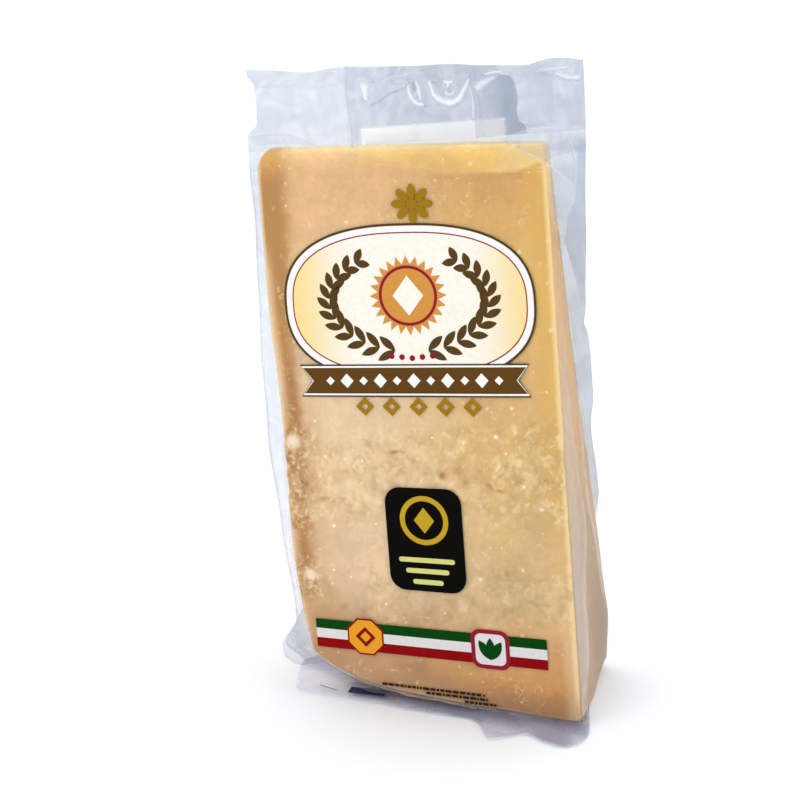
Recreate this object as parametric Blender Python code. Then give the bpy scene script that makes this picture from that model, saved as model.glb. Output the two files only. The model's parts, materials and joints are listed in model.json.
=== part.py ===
"""Chunk of hard grana cheese, sealed in a clear film pack.

The chunk is a wedge of half a wheel's height, standing on the wheel's rim with its trimmed apex up.
It is laid out in its own frame and then leant over:
    u  along the wheel's axis, from the flat rind (negative) to the cut at half height (positive)
    y  through the wedge, front cut face at negative y
    h  along the wheel's radius, from the rim up to the apex
The film is tight on the cheese. It stands free as a header above it, as a crimped margin on both
sides, and as a wad and flap that the chunk stands on. All of it is one sealed body.
"""
from math import cos, pi, radians, sin, sqrt

import bmesh
import bpy
import numpy as np
from mathutils import Matrix, Vector

# Driving dimensions, in metres unless the name says otherwise.
RIM_THICKNESS = 0.063  # between the two cut faces, at the rim
APEX_THICKNESS = 0.008
WEDGE_HEIGHT = 0.2155  # from the rim's lowest corner to the apex at the half-height cut
CUT_EDGE_U = 0.055  # the cut at half height is straight
LEAN_DEGREES = 6.25  # towards the flat rind
EDGE_RADIUS = 0.0016

# The flat rind's outline, as (h, u): it leans out at the apex and turns in to the rim's corner.
RIND_OUTLINE = (
    (0.026, -0.0503),
    (0.046, -0.0532),
    (0.066, -0.0549),
    (0.120, -0.0553),
    (0.165, -0.0573),
    (0.216, -0.0573),
)

# The rim is a barrel: flat at half height, rising to a rounded corner at the rind.
RIM_FLAT_U = 0.050
RIM_SPAN = 0.100
RIM_RISE = 0.016
RIM_CORNER_RISE = 0.011
RIM_CORNER_POWER = 7
RIM_LOWEST = -0.0008
RIM_ARC_SAG = 0.0020  # the wheel's round, across the wedge

APEX_HEIGHT = 0.2176  # at u = 0
APEX_SLOPE = -0.045
APEX_CORNER_RADIUS = 0.008
APEX_CROWN = 0.9  # share of the half thickness that the rounded apex falls at its edges

# Film: outlines of the free margins as (h, u), and the header's top edge.
FILM_THICKNESS = 0.0010
LEFT_MARGIN = (
    (0.016, -0.0590),
    (0.024, -0.0660),
    (0.034, -0.0605),
    (0.060, -0.0620),
    (0.110, -0.0645),
    (0.160, -0.0630),
    (0.225, -0.0608),
    (0.229, -0.0566),
    (0.244, -0.0552),
    (0.248, -0.0572),
)
RIGHT_MARGIN = (
    (0.006, 0.0552),
    (0.030, 0.0570),
    (0.085, 0.0576),
    (0.112, 0.0592),
    (0.124, 0.0596),
    (0.136, 0.0592),
    (0.152, 0.0610),
    (0.192, 0.0652),
    (0.248, 0.0712),
)
HEADER_TOP = 0.2462  # at u = 0
HEADER_TOP_SLOPE = -0.032
HEADER_TIP = 0.0020  # the seal's left corner stands up this much
HEADER_TIP_SHARE = 0.06  # over this share of the header's width
MARGIN_BOTTOM_LEFT = 0.016
MARGIN_BOTTOM_RIGHT = 0.006
LEFT_MARGIN_DEPTH = -0.25  # where each margin leaves the chunk, as a share of its thickness
RIGHT_MARGIN_DEPTH = 0.43
TENT_THICKNESS = 0.0060
TENT_FOOT = (0.2000, 0.2120)  # inside the chunk, the sheet thickens to the tent between these
TENT_SLOPE = (0.2160, 0.2380)  # and above it, it closes to the seal between these
TENT_AT_RIND = (-0.0040, 0.0040)  # it opens between these distances from the rind's outline
TENT_AT_CUT = (-0.0030, 0.0100)  # and closes between these distances past the cut
MARGIN_FADE = (0.1500, 0.2000)  # the margins come back to the middle of the pack between these
HEADER_WAVES = ((0.0016, 0.046, 0.6), (0.0008, 0.021, 2.0))  # height, length along u, phase
MARGIN_WAVE = (0.0006, 0.037, 3.0)  # height, length along h, phase from one margin to the other

# Film wad and flap on the ground, as corners in the leant frame (x, y), before the final shift.
GROUND = 0.0017
FLAP_OUTLINE = (
    (-0.066, 0.004),
    (-0.060, -0.026),
    (-0.042, -0.028),
    (-0.014, -0.030),
    (0.012, -0.034),
    (0.022, -0.053),
    (0.029, -0.046),
    (0.038, -0.042),
    (0.046, -0.047),
    (0.056, -0.046),
    (0.059, -0.030),
    (0.056, 0.010),
    (0.020, 0.024),
    (-0.040, 0.020),
)
FLAP_EDGE_THICKNESS = 0.0011
FLAP_WAD_THICKNESS = 0.0042
FLAP_WAD_FADE = (0.35, 1.0)  # share of the way out over which the wad thins to the edge
FLAP_RINGS = (1.0, 0.82, 0.62, 0.42, 0.20)
FLAP_CENTRE = (0.010, -0.004)

# Sticker on the back, bridging the chunk and the header.
LABEL_LEFT = -0.0160
LABEL_RIGHT = 0.0395
LABEL_BOTTOM = 0.1500
LABEL_TOP = 0.2245
LABEL_CORNER = 0.0030
LABEL_THICKNESS = 0.0004
LABEL_GAP = 0.0003

# How finely each surface is stepped.
CHUNK_COLUMNS = 17
CHUNK_COLUMN_POWER = 1.7  # above 1 packs the columns towards the rind's round corners
CHUNK_LAYERS = 8
CHUNK_ROWS = 26
SHEET_COLUMNS = 26
SHEET_LOW_ROWS = 24  # up to the tent's foot
SHEET_HIGH_ROWS = 12  # from there to the header's top edge
SHEET_HIGH_FROM = 0.84  # the tent's foot, as a share of the sheet's height
LABEL_COLUMNS = 8
LABEL_ROWS = 16
LABEL_CORNER_STEPS = 3
SPLINE_STEPS = 4
SHARP_DEGREES = 35
BEVEL_FROM_DEGREES = 40

# Moves the leant pack so that the origin is at the bottom centre of its box.
STAND_SHIFT = (0.0125, 0.0107, -GROUND)


def curve_at(points, x):
    """Smooth curve through (x, value) points, flat beyond its ends, with no overshoot."""
    xs = np.array([p[0] for p in points])
    values = np.array([p[1] for p in points])
    slopes = np.diff(values) / np.diff(xs)
    tangents = np.zeros(len(xs))
    for i in range(1, len(xs) - 1):
        before, after = slopes[i - 1], slopes[i]
        if before * after > 0:
            tangents[i] = 2 * before * after / (before + after)
    x = min(max(x, xs[0]), xs[-1])
    i = min(int(np.searchsorted(xs, x, side="right")) - 1, len(xs) - 2)
    step = xs[i + 1] - xs[i]
    s = (x - xs[i]) / step
    return (
        values[i] * (1 + 2 * s) * (1 - s) ** 2
        + tangents[i] * step * s * (1 - s) ** 2
        + values[i + 1] * s * s * (3 - 2 * s)
        - tangents[i + 1] * step * s * s * (1 - s)
    )


def ease(low, high, x):
    """0 below low, 1 above high, smooth between."""
    s = min(max((x - low) / (high - low), 0.0), 1.0)
    return s * s * (3 - 2 * s)


def mix(a, b, s):
    return a + (b - a) * s


def thickness_at(h):
    return mix(RIM_THICKNESS, APEX_THICKNESS, h / WEDGE_HEIGHT)


def rim_height(u, across):
    """Height of the rim's surface. across runs from -1 at the front cut face to 1 at the back."""
    d = max((RIM_FLAT_U - u) / RIM_SPAN, 0.0)
    profile = RIM_LOWEST + RIM_RISE * d + RIM_CORNER_RISE * d**RIM_CORNER_POWER
    return profile - RIM_ARC_SAG * (1 - across * across)


def apex_height(u, across):
    """Height of the rounded apex, which also turns down at the rind's corner."""
    left = curve_at(RIND_OUTLINE, APEX_HEIGHT)
    inside = min(max(u - left, 0.0), APEX_CORNER_RADIUS)
    reach = APEX_CORNER_RADIUS - inside
    corner_drop = APEX_CORNER_RADIUS - sqrt(APEX_CORNER_RADIUS**2 - reach**2)
    crown_drop = APEX_CROWN * APEX_THICKNESS / 2 * (1 - sqrt(1 - across * across))
    return APEX_HEIGHT + APEX_SLOPE * u - corner_drop - crown_drop


def chunk_point(a, across, c):
    """Point of the wedge: a from rind to cut, across from front to back, c from rim to apex."""
    h = c * APEX_HEIGHT
    for _ in range(4):
        u = mix(curve_at(RIND_OUTLINE, h), CUT_EDGE_U, a)
        h = mix(rim_height(u, across), apex_height(u, across), c)
    return u, across * thickness_at(h) / 2, h


def lattice_surface(point, columns, layers, rows):
    """Bmesh of the outer faces of a block of columns x layers x rows, placed by point(a, b, c)."""
    bm = bmesh.new()
    made = {}
    last = (len(columns) - 1, len(layers) - 1, len(rows) - 1)

    def corner(i, j, k):
        if (i, j, k) not in made:
            made[i, j, k] = bm.verts.new(point(columns[i], layers[j], rows[k]))
        return made[i, j, k]

    for i in range(last[0]):
        for j in range(last[1]):
            for k in (0, last[2]):
                bm.faces.new([corner(i + di, j + dj, k) for di, dj in ((0, 0), (1, 0), (1, 1), (0, 1))])
    for i in range(last[0]):
        for k in range(last[2]):
            for j in (0, last[1]):
                bm.faces.new([corner(i + di, j, k + dk) for di, dk in ((0, 0), (1, 0), (1, 1), (0, 1))])
    for j in range(last[1]):
        for k in range(last[2]):
            for i in (0, last[0]):
                bm.faces.new([corner(i, j + dj, k + dk) for dj, dk in ((0, 0), (1, 0), (1, 1), (0, 1))])
    bmesh.ops.recalc_face_normals(bm, faces=bm.faces)
    return bm


def add_object(name, bm, material=None):
    mesh = bpy.data.meshes.new(name)
    bm.to_mesh(mesh)
    bm.free()
    mesh.shade_smooth()
    mesh.set_sharp_from_angle(angle=radians(SHARP_DEGREES))
    obj = bpy.data.objects.new(name, mesh)
    if material:
        mesh.materials.append(material)
    bpy.context.scene.collection.objects.link(obj)
    return obj


def add_helper(name, bm):
    """A mesh that only feeds a Boolean."""
    obj = add_object(name, bm)
    obj.hide_render = True
    obj.display_type = "WIRE"
    return obj


def add_material(name, colour, roughness):
    material = bpy.data.materials.new(name)
    material.use_nodes = True
    shader = material.node_tree.nodes["Principled BSDF"]
    shader.inputs["Base Color"].default_value = (*colour, 1.0)
    shader.inputs["Roughness"].default_value = roughness
    shader.inputs["Metallic"].default_value = 0.0
    return material


def lean_and_place(bm):
    """Leans the pack's own frame over towards the rind, then moves it to stand on the origin."""
    turn = Matrix.Rotation(radians(-LEAN_DEGREES), 4, "Y")
    bmesh.ops.transform(bm, matrix=Matrix.Translation(STAND_SHIFT) @ turn, verts=bm.verts)


def even_steps(count):
    """Steps from 0 to 1."""
    return [i / count for i in range(count + 1)]


def packed_steps(count, power):
    """Steps from 0 to 1, closer together near 0."""
    return [step**power for step in even_steps(count)]


def edge_steps(count):
    """Steps from 0 to 1, closer together near both ends."""
    return [(1 - cos(pi * step)) / 2 for step in even_steps(count)]


def chunk():
    columns = packed_steps(CHUNK_COLUMNS, CHUNK_COLUMN_POWER)
    layers = [sin(pi / 2 * (2 * step - 1)) for step in even_steps(CHUNK_LAYERS)]
    rows = even_steps(CHUNK_ROWS)
    bm = lattice_surface(chunk_point, columns, layers, rows)
    lean_and_place(bm)
    return bm


def sheet_middle(a, u, h):
    """Where the free film lies through the pack's thickness."""
    share = mix(LEFT_MARGIN_DEPTH, RIGHT_MARGIN_DEPTH, a) * (1 - ease(*MARGIN_FADE, h))
    height, length, phase = MARGIN_WAVE
    margin_wave = height * sin(2 * pi * h / length + phase * a)
    header_wave = sum(rise * sin(2 * pi * u / span + start) for rise, span, start in HEADER_WAVES)
    return share * thickness_at(h) + margin_wave + header_wave * ease(APEX_HEIGHT, HEADER_TOP, h)


def sheet_thickness(u, h):
    """The film's layers: a tent over the apex that closes to the seal, flat at the margins."""
    inside = ease(*TENT_AT_RIND, u - curve_at(RIND_OUTLINE, h)) * (1 - ease(*TENT_AT_CUT, u - CUT_EDGE_U))
    swell = ease(*TENT_FOOT, h) * (1 - ease(*TENT_SLOPE, h))
    return mix(FILM_THICKNESS, TENT_THICKNESS, inside * swell)


def sheet_point(a, across, c):
    """Point of the free film: a from the left margin's edge to the right's, c from bottom to top."""
    h = mix(MARGIN_BOTTOM_LEFT, HEADER_TOP, c)
    for _ in range(4):
        u = mix(curve_at(LEFT_MARGIN, h), curve_at(RIGHT_MARGIN, h), a)
        bottom = mix(MARGIN_BOTTOM_LEFT, MARGIN_BOTTOM_RIGHT, a)
        tip = HEADER_TIP * (1 - ease(0.0, HEADER_TIP_SHARE, a))
        h = mix(bottom, HEADER_TOP + HEADER_TOP_SLOPE * u + tip, c)
    return u, sheet_middle(a, u, h) + across * sheet_thickness(u, h) / 2, h


def sheet():
    """The margins and the header, as one sheet that runs through the chunk."""
    low_rows = [step * SHEET_HIGH_FROM for step in even_steps(SHEET_LOW_ROWS)]
    high_rows = [mix(SHEET_HIGH_FROM, 1.0, step) for step in even_steps(SHEET_HIGH_ROWS)]
    bm = lattice_surface(sheet_point, edge_steps(SHEET_COLUMNS), (-1, 1), low_rows[:-1] + high_rows)
    lean_and_place(bm)
    return bm


def closed_spline(corners, steps):
    """Points of a smooth closed outline through the corners (Catmull-Rom)."""
    outline = []
    for i, here in enumerate(corners):
        before, after, beyond = (corners[(i + k) % len(corners)] for k in (-1, 1, 2))
        slope = after - before
        curve = 2 * before - 5 * here + 4 * after - beyond
        twist = 3 * here - before - 3 * after + beyond
        for step in even_steps(steps)[:-1]:
            outline.append(here + (slope * step + curve * step**2 + twist * step**3) / 2)
    return outline


def flap():
    """The wad and flap on the ground: a flat base, thickest under the chunk."""
    outline = closed_spline([Vector((x, y, 0.0)) for x, y in reversed(FLAP_OUTLINE)], SPLINE_STEPS)
    centre = Vector((*FLAP_CENTRE, 0.0))
    ground = Vector(STAND_SHIFT) + Vector((0, 0, GROUND))
    bm = bmesh.new()
    rings = [[bm.verts.new(point + ground) for point in outline]]
    for share in FLAP_RINGS:
        rise = mix(FLAP_WAD_THICKNESS, FLAP_EDGE_THICKNESS, ease(*FLAP_WAD_FADE, share))
        top = ground + Vector((0, 0, rise))
        rings.append([bm.verts.new(centre.lerp(point, share) + top) for point in outline])
    count = len(outline)
    for low, high in zip(rings, rings[1:]):
        for i in range(count):
            bm.faces.new((low[i], low[(i + 1) % count], high[(i + 1) % count], high[i]))
    bm.faces.new(rings[-1])
    bm.faces.new(list(reversed(rings[0])))
    bmesh.ops.recalc_face_normals(bm, faces=bm.faces)
    return bm


def label_point(a, across, c):
    """Point of the sticker, which follows the pack's back face up onto the header."""
    h = mix(LABEL_BOTTOM, LABEL_TOP, c)
    end = max(LABEL_CORNER - min(h - LABEL_BOTTOM, LABEL_TOP - h), 0.0)
    inset = LABEL_CORNER - sqrt(LABEL_CORNER**2 - end**2)
    u = mix(LABEL_LEFT + inset, LABEL_RIGHT - inset, a)
    share = (u - curve_at(LEFT_MARGIN, h)) / (curve_at(RIGHT_MARGIN, h) - curve_at(LEFT_MARGIN, h))
    film_back = sheet_middle(share, u, h) + sheet_thickness(u, h) / 2
    chunk_back = thickness_at(h) / 2 if h < APEX_HEIGHT else 0.0
    lift = (across + 1) / 2 * LABEL_THICKNESS
    return u, max(film_back, chunk_back) + LABEL_GAP + lift, h


def label():
    corner_share = LABEL_CORNER / (LABEL_TOP - LABEL_BOTTOM)
    turns = even_steps(LABEL_CORNER_STEPS)[:-1]
    corner_rows = [corner_share * (1 - cos(pi / 2 * turn)) for turn in turns]
    rows = [mix(corner_share, 1 - corner_share, step) for step in even_steps(LABEL_ROWS)]
    rows = corner_rows + rows + [1 - row for row in reversed(corner_rows)]
    bm = lattice_surface(label_point, even_steps(LABEL_COLUMNS), (-1, 1), rows)
    lean_and_place(bm)
    return bm


def sealed_pack():
    """The chunk in its film, as one body."""
    material = add_material("clear_film_over_cheese", (0.72, 0.52, 0.28), 0.25)
    pack = add_object("sealed_pack", chunk(), material)
    bevel = pack.modifiers.new("cut_edges", "BEVEL")
    bevel.width = EDGE_RADIUS
    bevel.segments = 2
    bevel.limit_method = "ANGLE"
    bevel.angle_limit = radians(BEVEL_FROM_DEGREES)
    for name, bm in (("film_sheet", sheet()), ("film_flap", flap())):
        join = pack.modifiers.new(name, "BOOLEAN")
        join.operation = "UNION"
        join.solver = "EXACT"
        join.object = add_helper(name, bm)
    return pack


def back_label():
    material = add_material("label_paper", (0.86, 0.87, 0.88), 0.5)
    return add_object("back_label", label(), material)


def main():
    for obj in list(bpy.data.objects):
        bpy.data.objects.remove(obj)
    sealed_pack()
    back_label()


main()
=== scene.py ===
import itertools
import json
from math import atan2, ceil, cos, pi, radians, sin

import bmesh
import bpy
import numpy as np
from mathutils import Matrix, Vector, geometry


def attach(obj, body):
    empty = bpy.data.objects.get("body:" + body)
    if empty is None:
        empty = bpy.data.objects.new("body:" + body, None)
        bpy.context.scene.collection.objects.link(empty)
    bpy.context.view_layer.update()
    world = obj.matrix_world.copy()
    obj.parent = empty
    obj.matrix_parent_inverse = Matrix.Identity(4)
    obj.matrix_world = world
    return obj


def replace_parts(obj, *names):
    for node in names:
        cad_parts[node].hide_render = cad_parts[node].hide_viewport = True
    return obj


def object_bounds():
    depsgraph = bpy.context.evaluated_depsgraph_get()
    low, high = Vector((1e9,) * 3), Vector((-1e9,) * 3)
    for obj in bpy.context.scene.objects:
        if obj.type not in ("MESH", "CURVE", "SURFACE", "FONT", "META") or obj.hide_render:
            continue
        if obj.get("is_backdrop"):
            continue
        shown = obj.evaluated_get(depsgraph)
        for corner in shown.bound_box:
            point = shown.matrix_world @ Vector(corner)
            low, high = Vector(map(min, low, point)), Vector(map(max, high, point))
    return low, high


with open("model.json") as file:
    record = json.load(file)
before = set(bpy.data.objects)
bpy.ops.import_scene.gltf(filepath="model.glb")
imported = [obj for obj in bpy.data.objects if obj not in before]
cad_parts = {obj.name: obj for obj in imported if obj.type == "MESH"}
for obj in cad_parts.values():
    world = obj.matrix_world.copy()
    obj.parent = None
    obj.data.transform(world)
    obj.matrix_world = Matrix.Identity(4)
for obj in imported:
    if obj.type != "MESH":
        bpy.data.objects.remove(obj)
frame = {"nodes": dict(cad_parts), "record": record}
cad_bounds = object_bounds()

# The pack's own frame, as in part.py: u along the wheel's axis, y through the wedge, h up its radius.
# Metres everywhere. PACK_FRAME leans it over and stands it on the base mount.
LEAN_DEGREES = 6.25
GROUND = 0.0017
BASE = next(mount["pos_m"] for mount in frame["record"]["mounts"] if mount["name"] == "base")
PACK_FRAME = Matrix.Translation((BASE[0], BASE[1], -GROUND)) @ Matrix.Rotation(
    radians(-LEAN_DEGREES), 4, "Y"
)

RIM_THICKNESS = 0.063
APEX_THICKNESS = 0.008
WEDGE_HEIGHT = 0.2155
CUT_EDGE_U = 0.055
RIND_OUTLINE = (
    (0.026, -0.0503), (0.046, -0.0532), (0.066, -0.0549), (0.120, -0.0553), (0.165, -0.0573),
    (0.216, -0.0573),
)
RIM_FLAT_U = 0.050
RIM_SPAN = 0.100
RIM_RISE = 0.0170
RIM_CORNER_RISE = 0.011
RIM_CORNER_POWER = 7
RIM_LOWEST = -0.0018
RIM_ARC_SAG = 0.0020
# The cut at half height swells towards the back: (h, how far).
SIDE_BULGE = (
    (-0.0040, -0.0014), (0.0020, 0.0003), (0.0120, 0.0024), (0.0230, 0.0035), (0.0340, 0.0031),
    (0.0450, 0.0030), (0.0610, 0.0027), (0.0750, 0.0023), (0.0950, 0.0014), (0.1200, 0.0006),
    (0.1450, 0.0000),
)
APEX_HEIGHT = 0.2176
APEX_SLOPE = -0.045
APEX_CORNER_RADIUS = 0.008
APEX_CROWN = 0.9
LEFT_MARGIN = (
    (0.016, -0.0590), (0.024, -0.0660), (0.034, -0.0605), (0.060, -0.0620), (0.110, -0.0645),
    (0.160, -0.0630), (0.225, -0.0608), (0.229, -0.0566), (0.244, -0.0552), (0.248, -0.0572),
)
RIGHT_MARGIN = (
    (0.0560, 0.0556), (0.0627, 0.0571), (0.0695, 0.0586), (0.0740, 0.0594), (0.0829, 0.0596),
    (0.0984, 0.0589), (0.1041, 0.0594), (0.1136, 0.0613), (0.1308, 0.0619), (0.1393, 0.0616),
    (0.1431, 0.0607), (0.1480, 0.0618), (0.1583, 0.0631), (0.1836, 0.0665), (0.2000, 0.0681),
    (0.2480, 0.0712),
)
HEADER_EDGE = (
    (-0.0573, 0.2503), (-0.0484, 0.2493), (-0.0408, 0.2480), (-0.0336, 0.2474), (-0.0272, 0.2480),
    (-0.0185, 0.2485), (-0.0035, 0.2471), (0.0075, 0.2465), (0.0229, 0.2461), (0.0336, 0.2449),
    (0.0499, 0.2435), (0.0542, 0.2444), (0.0586, 0.2451), (0.0649, 0.2448), (0.0708, 0.2440),
)
MARGIN_BOTTOM = (0.016, 0.006)
MARGIN_DEPTH = (-0.25, 0.43)
MARGIN_FADE = (0.1500, 0.2000)
TENT_THICKNESS = 0.0052
TENT_SLOPE = (0.2160, 0.2370)
HEADER_WAVES = ((0.0016, 0.046, 0.6), (0.0008, 0.021, 2.0))
MARGIN_WAVE = (0.0006, 0.037, 3.0)
LABEL_LEFT = -0.0160
LABEL_RIGHT = 0.0395
LABEL_TOP = 0.2245
SEAL_HEIGHT = 0.0062
LAYER_GAP = 0.0003

# The film is drawn tight over the cheese this far off it; each print layer sits a little further out.
SKIN_GAP = 0.0004
PRINT_GAP = 0.00012
PRINT_STEP = 0.00006


# ---------------------------------------------------------------- numbers and curves


def ease(low, high, x):
    """0 below low, 1 above high, smooth between."""
    s = np.clip((x - low) / (high - low), 0.0, 1.0)
    return s * s * (3 - 2 * s)


def mix(a, b, s):
    return a + (b - a) * s


def bump_at(centre, width, x):
    """1 at centre, falling smoothly away on both sides."""
    return np.exp(-(((x - centre) / width) ** 2))


def curve_at(points, x):
    """Smooth curve through (x, value) points, flat beyond its ends, with no overshoot."""
    xs = np.array([p[0] for p in points])
    values = np.array([p[1] for p in points])
    slopes = np.diff(values) / np.diff(xs)
    before, after = slopes[:-1], slopes[1:]
    same_way = before * after > 0
    tangents = np.zeros(len(xs))
    tangents[1:-1][same_way] = (2 * before * after)[same_way] / (before + after)[same_way]
    x = np.clip(x, xs[0], xs[-1])
    i = np.clip(np.searchsorted(xs, x, side="right") - 1, 0, len(xs) - 2)
    step = xs[i + 1] - xs[i]
    s = (x - xs[i]) / step
    return (
        values[i] * (1 + 2 * s) * (1 - s) ** 2
        + tangents[i] * step * s * (1 - s) ** 2
        + values[i + 1] * s * s * (3 - 2 * s)
        - tangents[i + 1] * step * s * s * (1 - s)
    )


def constant(value):
    """A curve that stays at this value."""
    return lambda x: value + 0 * x


def curve(points):
    """The smooth curve through these points, as a function."""
    return lambda x: curve_at(points, x)


NOISE_CELLS = 32
NOISE_SHIFT = 7919.0  # keeps the cells' numbers positive
NOISE_TABLE = np.random.default_rng(11).random((NOISE_CELLS,) * 3)


def noise3(points, size):
    """Smooth value noise from 0 to 1, with features of this size, at points (..., 3)."""
    scaled = np.asarray(points) / size + NOISE_SHIFT
    cell = np.floor(scaled).astype(int)
    part = scaled - cell
    part = part * part * (3 - 2 * part)
    total = np.zeros(scaled.shape[:-1])
    for corner in itertools.product((0, 1), repeat=3):
        weight = np.prod(np.where(corner, part, 1 - part), axis=-1)
        index = (cell + np.array(corner)) % NOISE_CELLS
        total += weight * NOISE_TABLE[index[..., 0], index[..., 1], index[..., 2]]
    return total


def fractal(points, size, octaves=3):
    """Noise of several sizes from 0 to 1, each half as large and as strong as the last."""
    total = sum(noise3(points, size / 2**i) / 2**i for i in range(octaves))
    return total / sum(1 / 2**i for i in range(octaves))


def in_plane(u, h):
    """Points on the pack's middle plane, at which the film's noise is read."""
    return np.stack([np.asarray(u), np.zeros_like(u), np.asarray(h)], axis=-1)


# ---------------------------------------------------------------- the wedge's form


def thickness_at(h):
    return mix(RIM_THICKNESS, APEX_THICKNESS, h / WEDGE_HEIGHT)


def rim_height(u, across):
    d = np.maximum((RIM_FLAT_U - u) / RIM_SPAN, 0.0)
    profile = RIM_LOWEST + RIM_RISE * d + RIM_CORNER_RISE * d**RIM_CORNER_POWER
    return profile - RIM_ARC_SAG * (1 - across * across)


def apex_ridge(u):
    """The apex line, with its rounded corner at the rind."""
    left = curve_at(RIND_OUTLINE, APEX_HEIGHT)
    reach = APEX_CORNER_RADIUS - np.clip(u - left, 0.0, APEX_CORNER_RADIUS)
    corner_drop = APEX_CORNER_RADIUS - np.sqrt(APEX_CORNER_RADIUS**2 - reach**2)
    return APEX_HEIGHT + APEX_SLOPE * u - corner_drop


def apex_height(u, across):
    crown = APEX_CROWN * APEX_THICKNESS / 2
    return apex_ridge(u) - crown * (1 - np.sqrt(np.clip(1 - across * across, 0.0, 1.0)))


def cut_side(across, h):
    """The surface of the cut at half height, as u."""
    share = ease(-0.2, 0.6, across) * (1 - 0.45 * ease(0.7, 1.0, across))
    return CUT_EDGE_U + curve_at(SIDE_BULGE, h) * share


def chunk_point(a, across, c):
    """Points (..., 3) of the wedge: a from rind to cut, across from front to back, c from rim up."""
    h = c * APEX_HEIGHT
    for _ in range(4):
        u = mix(curve_at(RIND_OUTLINE, h), cut_side(across, h), a)
        h = mix(rim_height(u, across), apex_height(u, across), c)
    return np.stack([u, across * thickness_at(h) / 2, h], axis=-1)


def chunk_half(u, h):
    """Half the wedge's thickness at (u, h), falling to zero over the rounded apex."""
    crown = APEX_CROWN * APEX_THICKNESS / 2
    fall = np.clip(1 - (apex_ridge(u) - h) / crown, 0.0, 1.0)
    return thickness_at(h) / 2 * np.sqrt(1 - fall * fall)


# ---------------------------------------------------------------- making pieces


def add_piece(name, points, faces, material, values=None, frame_matrix=PACK_FRAME):
    """A piece given in the pack's own frame, with named numbers for its points."""
    mesh = bpy.data.meshes.new(name)
    mesh.from_pydata(np.asarray(points).reshape(-1, 3).tolist(), [], np.asarray(faces).tolist())
    for key, numbers in (values or {}).items():
        layer = mesh.attributes.new(key, "FLOAT", "POINT")
        layer.data.foreach_set("value", np.asarray(numbers, np.float32).ravel())
    return add_object(name, mesh, material, frame_matrix)


def add_object(name, mesh, material, frame_matrix=PACK_FRAME):
    mesh.transform(frame_matrix)
    mesh.shade_smooth()
    mesh.materials.append(material)
    obj = bpy.data.objects.new(name, mesh)
    bpy.context.scene.collection.objects.link(obj)
    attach(obj, "root")
    return obj


def grid_faces(rows, columns):
    """Quads of a grid whose points run along each row in turn."""
    corner = (np.arange(rows - 1)[:, None] * columns + np.arange(columns - 1)).ravel()
    return np.stack([corner, corner + 1, corner + columns + 1, corner + columns], axis=1)


# How far in from each end of a block's side its extra grid steps lie.
EDGE_STEPS = (0.0, 0.3e-3, 0.7e-3, 1.2e-3, 1.8e-3)


def edge_packed(steps, length):
    """Steps from 0 to 1 along a length, this many or as given, with extra ones close to both ends."""
    near = np.array(EDGE_STEPS) / length
    if np.isscalar(steps):
        steps = np.linspace(near[-1], 1 - near[-1], steps)
    room = near[-1] * 1.2
    inner = steps[(steps > room) & (steps < 1 - room)]
    return np.concatenate([near, inner, 1 - near[::-1]])


def block_skin(columns, layers, rows):
    """Outer points (a, b, c) of a block of steps, and its quads facing out."""
    sizes = (len(columns), len(layers), len(rows))
    steps = (columns, layers, rows)
    keys, quads = [], []
    for fixed, (first, second) in ((0, (1, 2)), (1, (2, 0)), (2, (0, 1))):
        for side in (0, sizes[fixed] - 1):
            i, j = np.meshgrid(np.arange(sizes[first]), np.arange(sizes[second]), indexing="ij")
            key = np.zeros(i.shape + (3,), int)
            key[..., fixed], key[..., first], key[..., second] = side, i, j
            faces = grid_faces(*i.shape) + sum(len(k) for k in keys)
            keys.append(key.reshape(-1, 3))
            quads.append(faces if side == 0 else faces[:, ::-1])
    keys = np.concatenate(keys)
    quads = np.concatenate(quads)
    unique, index = np.unique(keys, axis=0, return_inverse=True)
    points = np.stack([np.asarray(steps[axis])[unique[:, axis]] for axis in range(3)], axis=1)
    return points, index.reshape(-1)[quads]


def round_block(points, radius):
    """Rounds the block's edges. Returns the moved (a, across, c) and the outward directions."""
    a, across, c = points[:, 0], points[:, 1], points[:, 2]
    width = CUT_EDGE_U - curve_at(RIND_OUTLINE, c * APEX_HEIGHT)
    sizes = np.stack([width, thickness_at(c * APEX_HEIGHT), np.full_like(c, APEX_HEIGHT)], axis=1)
    metric = np.stack([a - 0.5, across / 2, c - 0.5], axis=1) * sizes
    inner = np.clip(metric, -sizes / 2 + radius, sizes / 2 - radius)
    out = metric - inner
    length = np.linalg.norm(out, axis=1, keepdims=True)
    out = out / np.maximum(length, 1e-9)
    moved = (inner + out * np.minimum(length, radius)) / sizes
    return np.stack([moved[:, 0] + 0.5, moved[:, 1] * 2, moved[:, 2] + 0.5], axis=1), out


def wedge_skin(columns, layers, rows, radius):
    """The wedge's surface: points, how far across each is, its direction outwards, and faces."""
    steps = (
        edge_packed(columns, CUT_EDGE_U * 2),
        edge_packed(layers, RIM_THICKNESS / 2) * 2 - 1,
        edge_packed(rows, APEX_HEIGHT),
    )
    block, faces = block_skin(*steps)
    rounded, out = round_block(block, radius)
    return chunk_point(*rounded.T), rounded[:, 1], out, faces


# ---------------------------------------------------------------- materials


def paint(red, green, blue):
    """Linear colour from the usual 0 to 255 values."""
    levels = np.array([red, green, blue]) / 255
    linear = np.where(levels <= 0.04045, levels / 12.92, ((levels + 0.055) / 1.055) ** 2.4)
    return (*linear.tolist(), 1.0)


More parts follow.
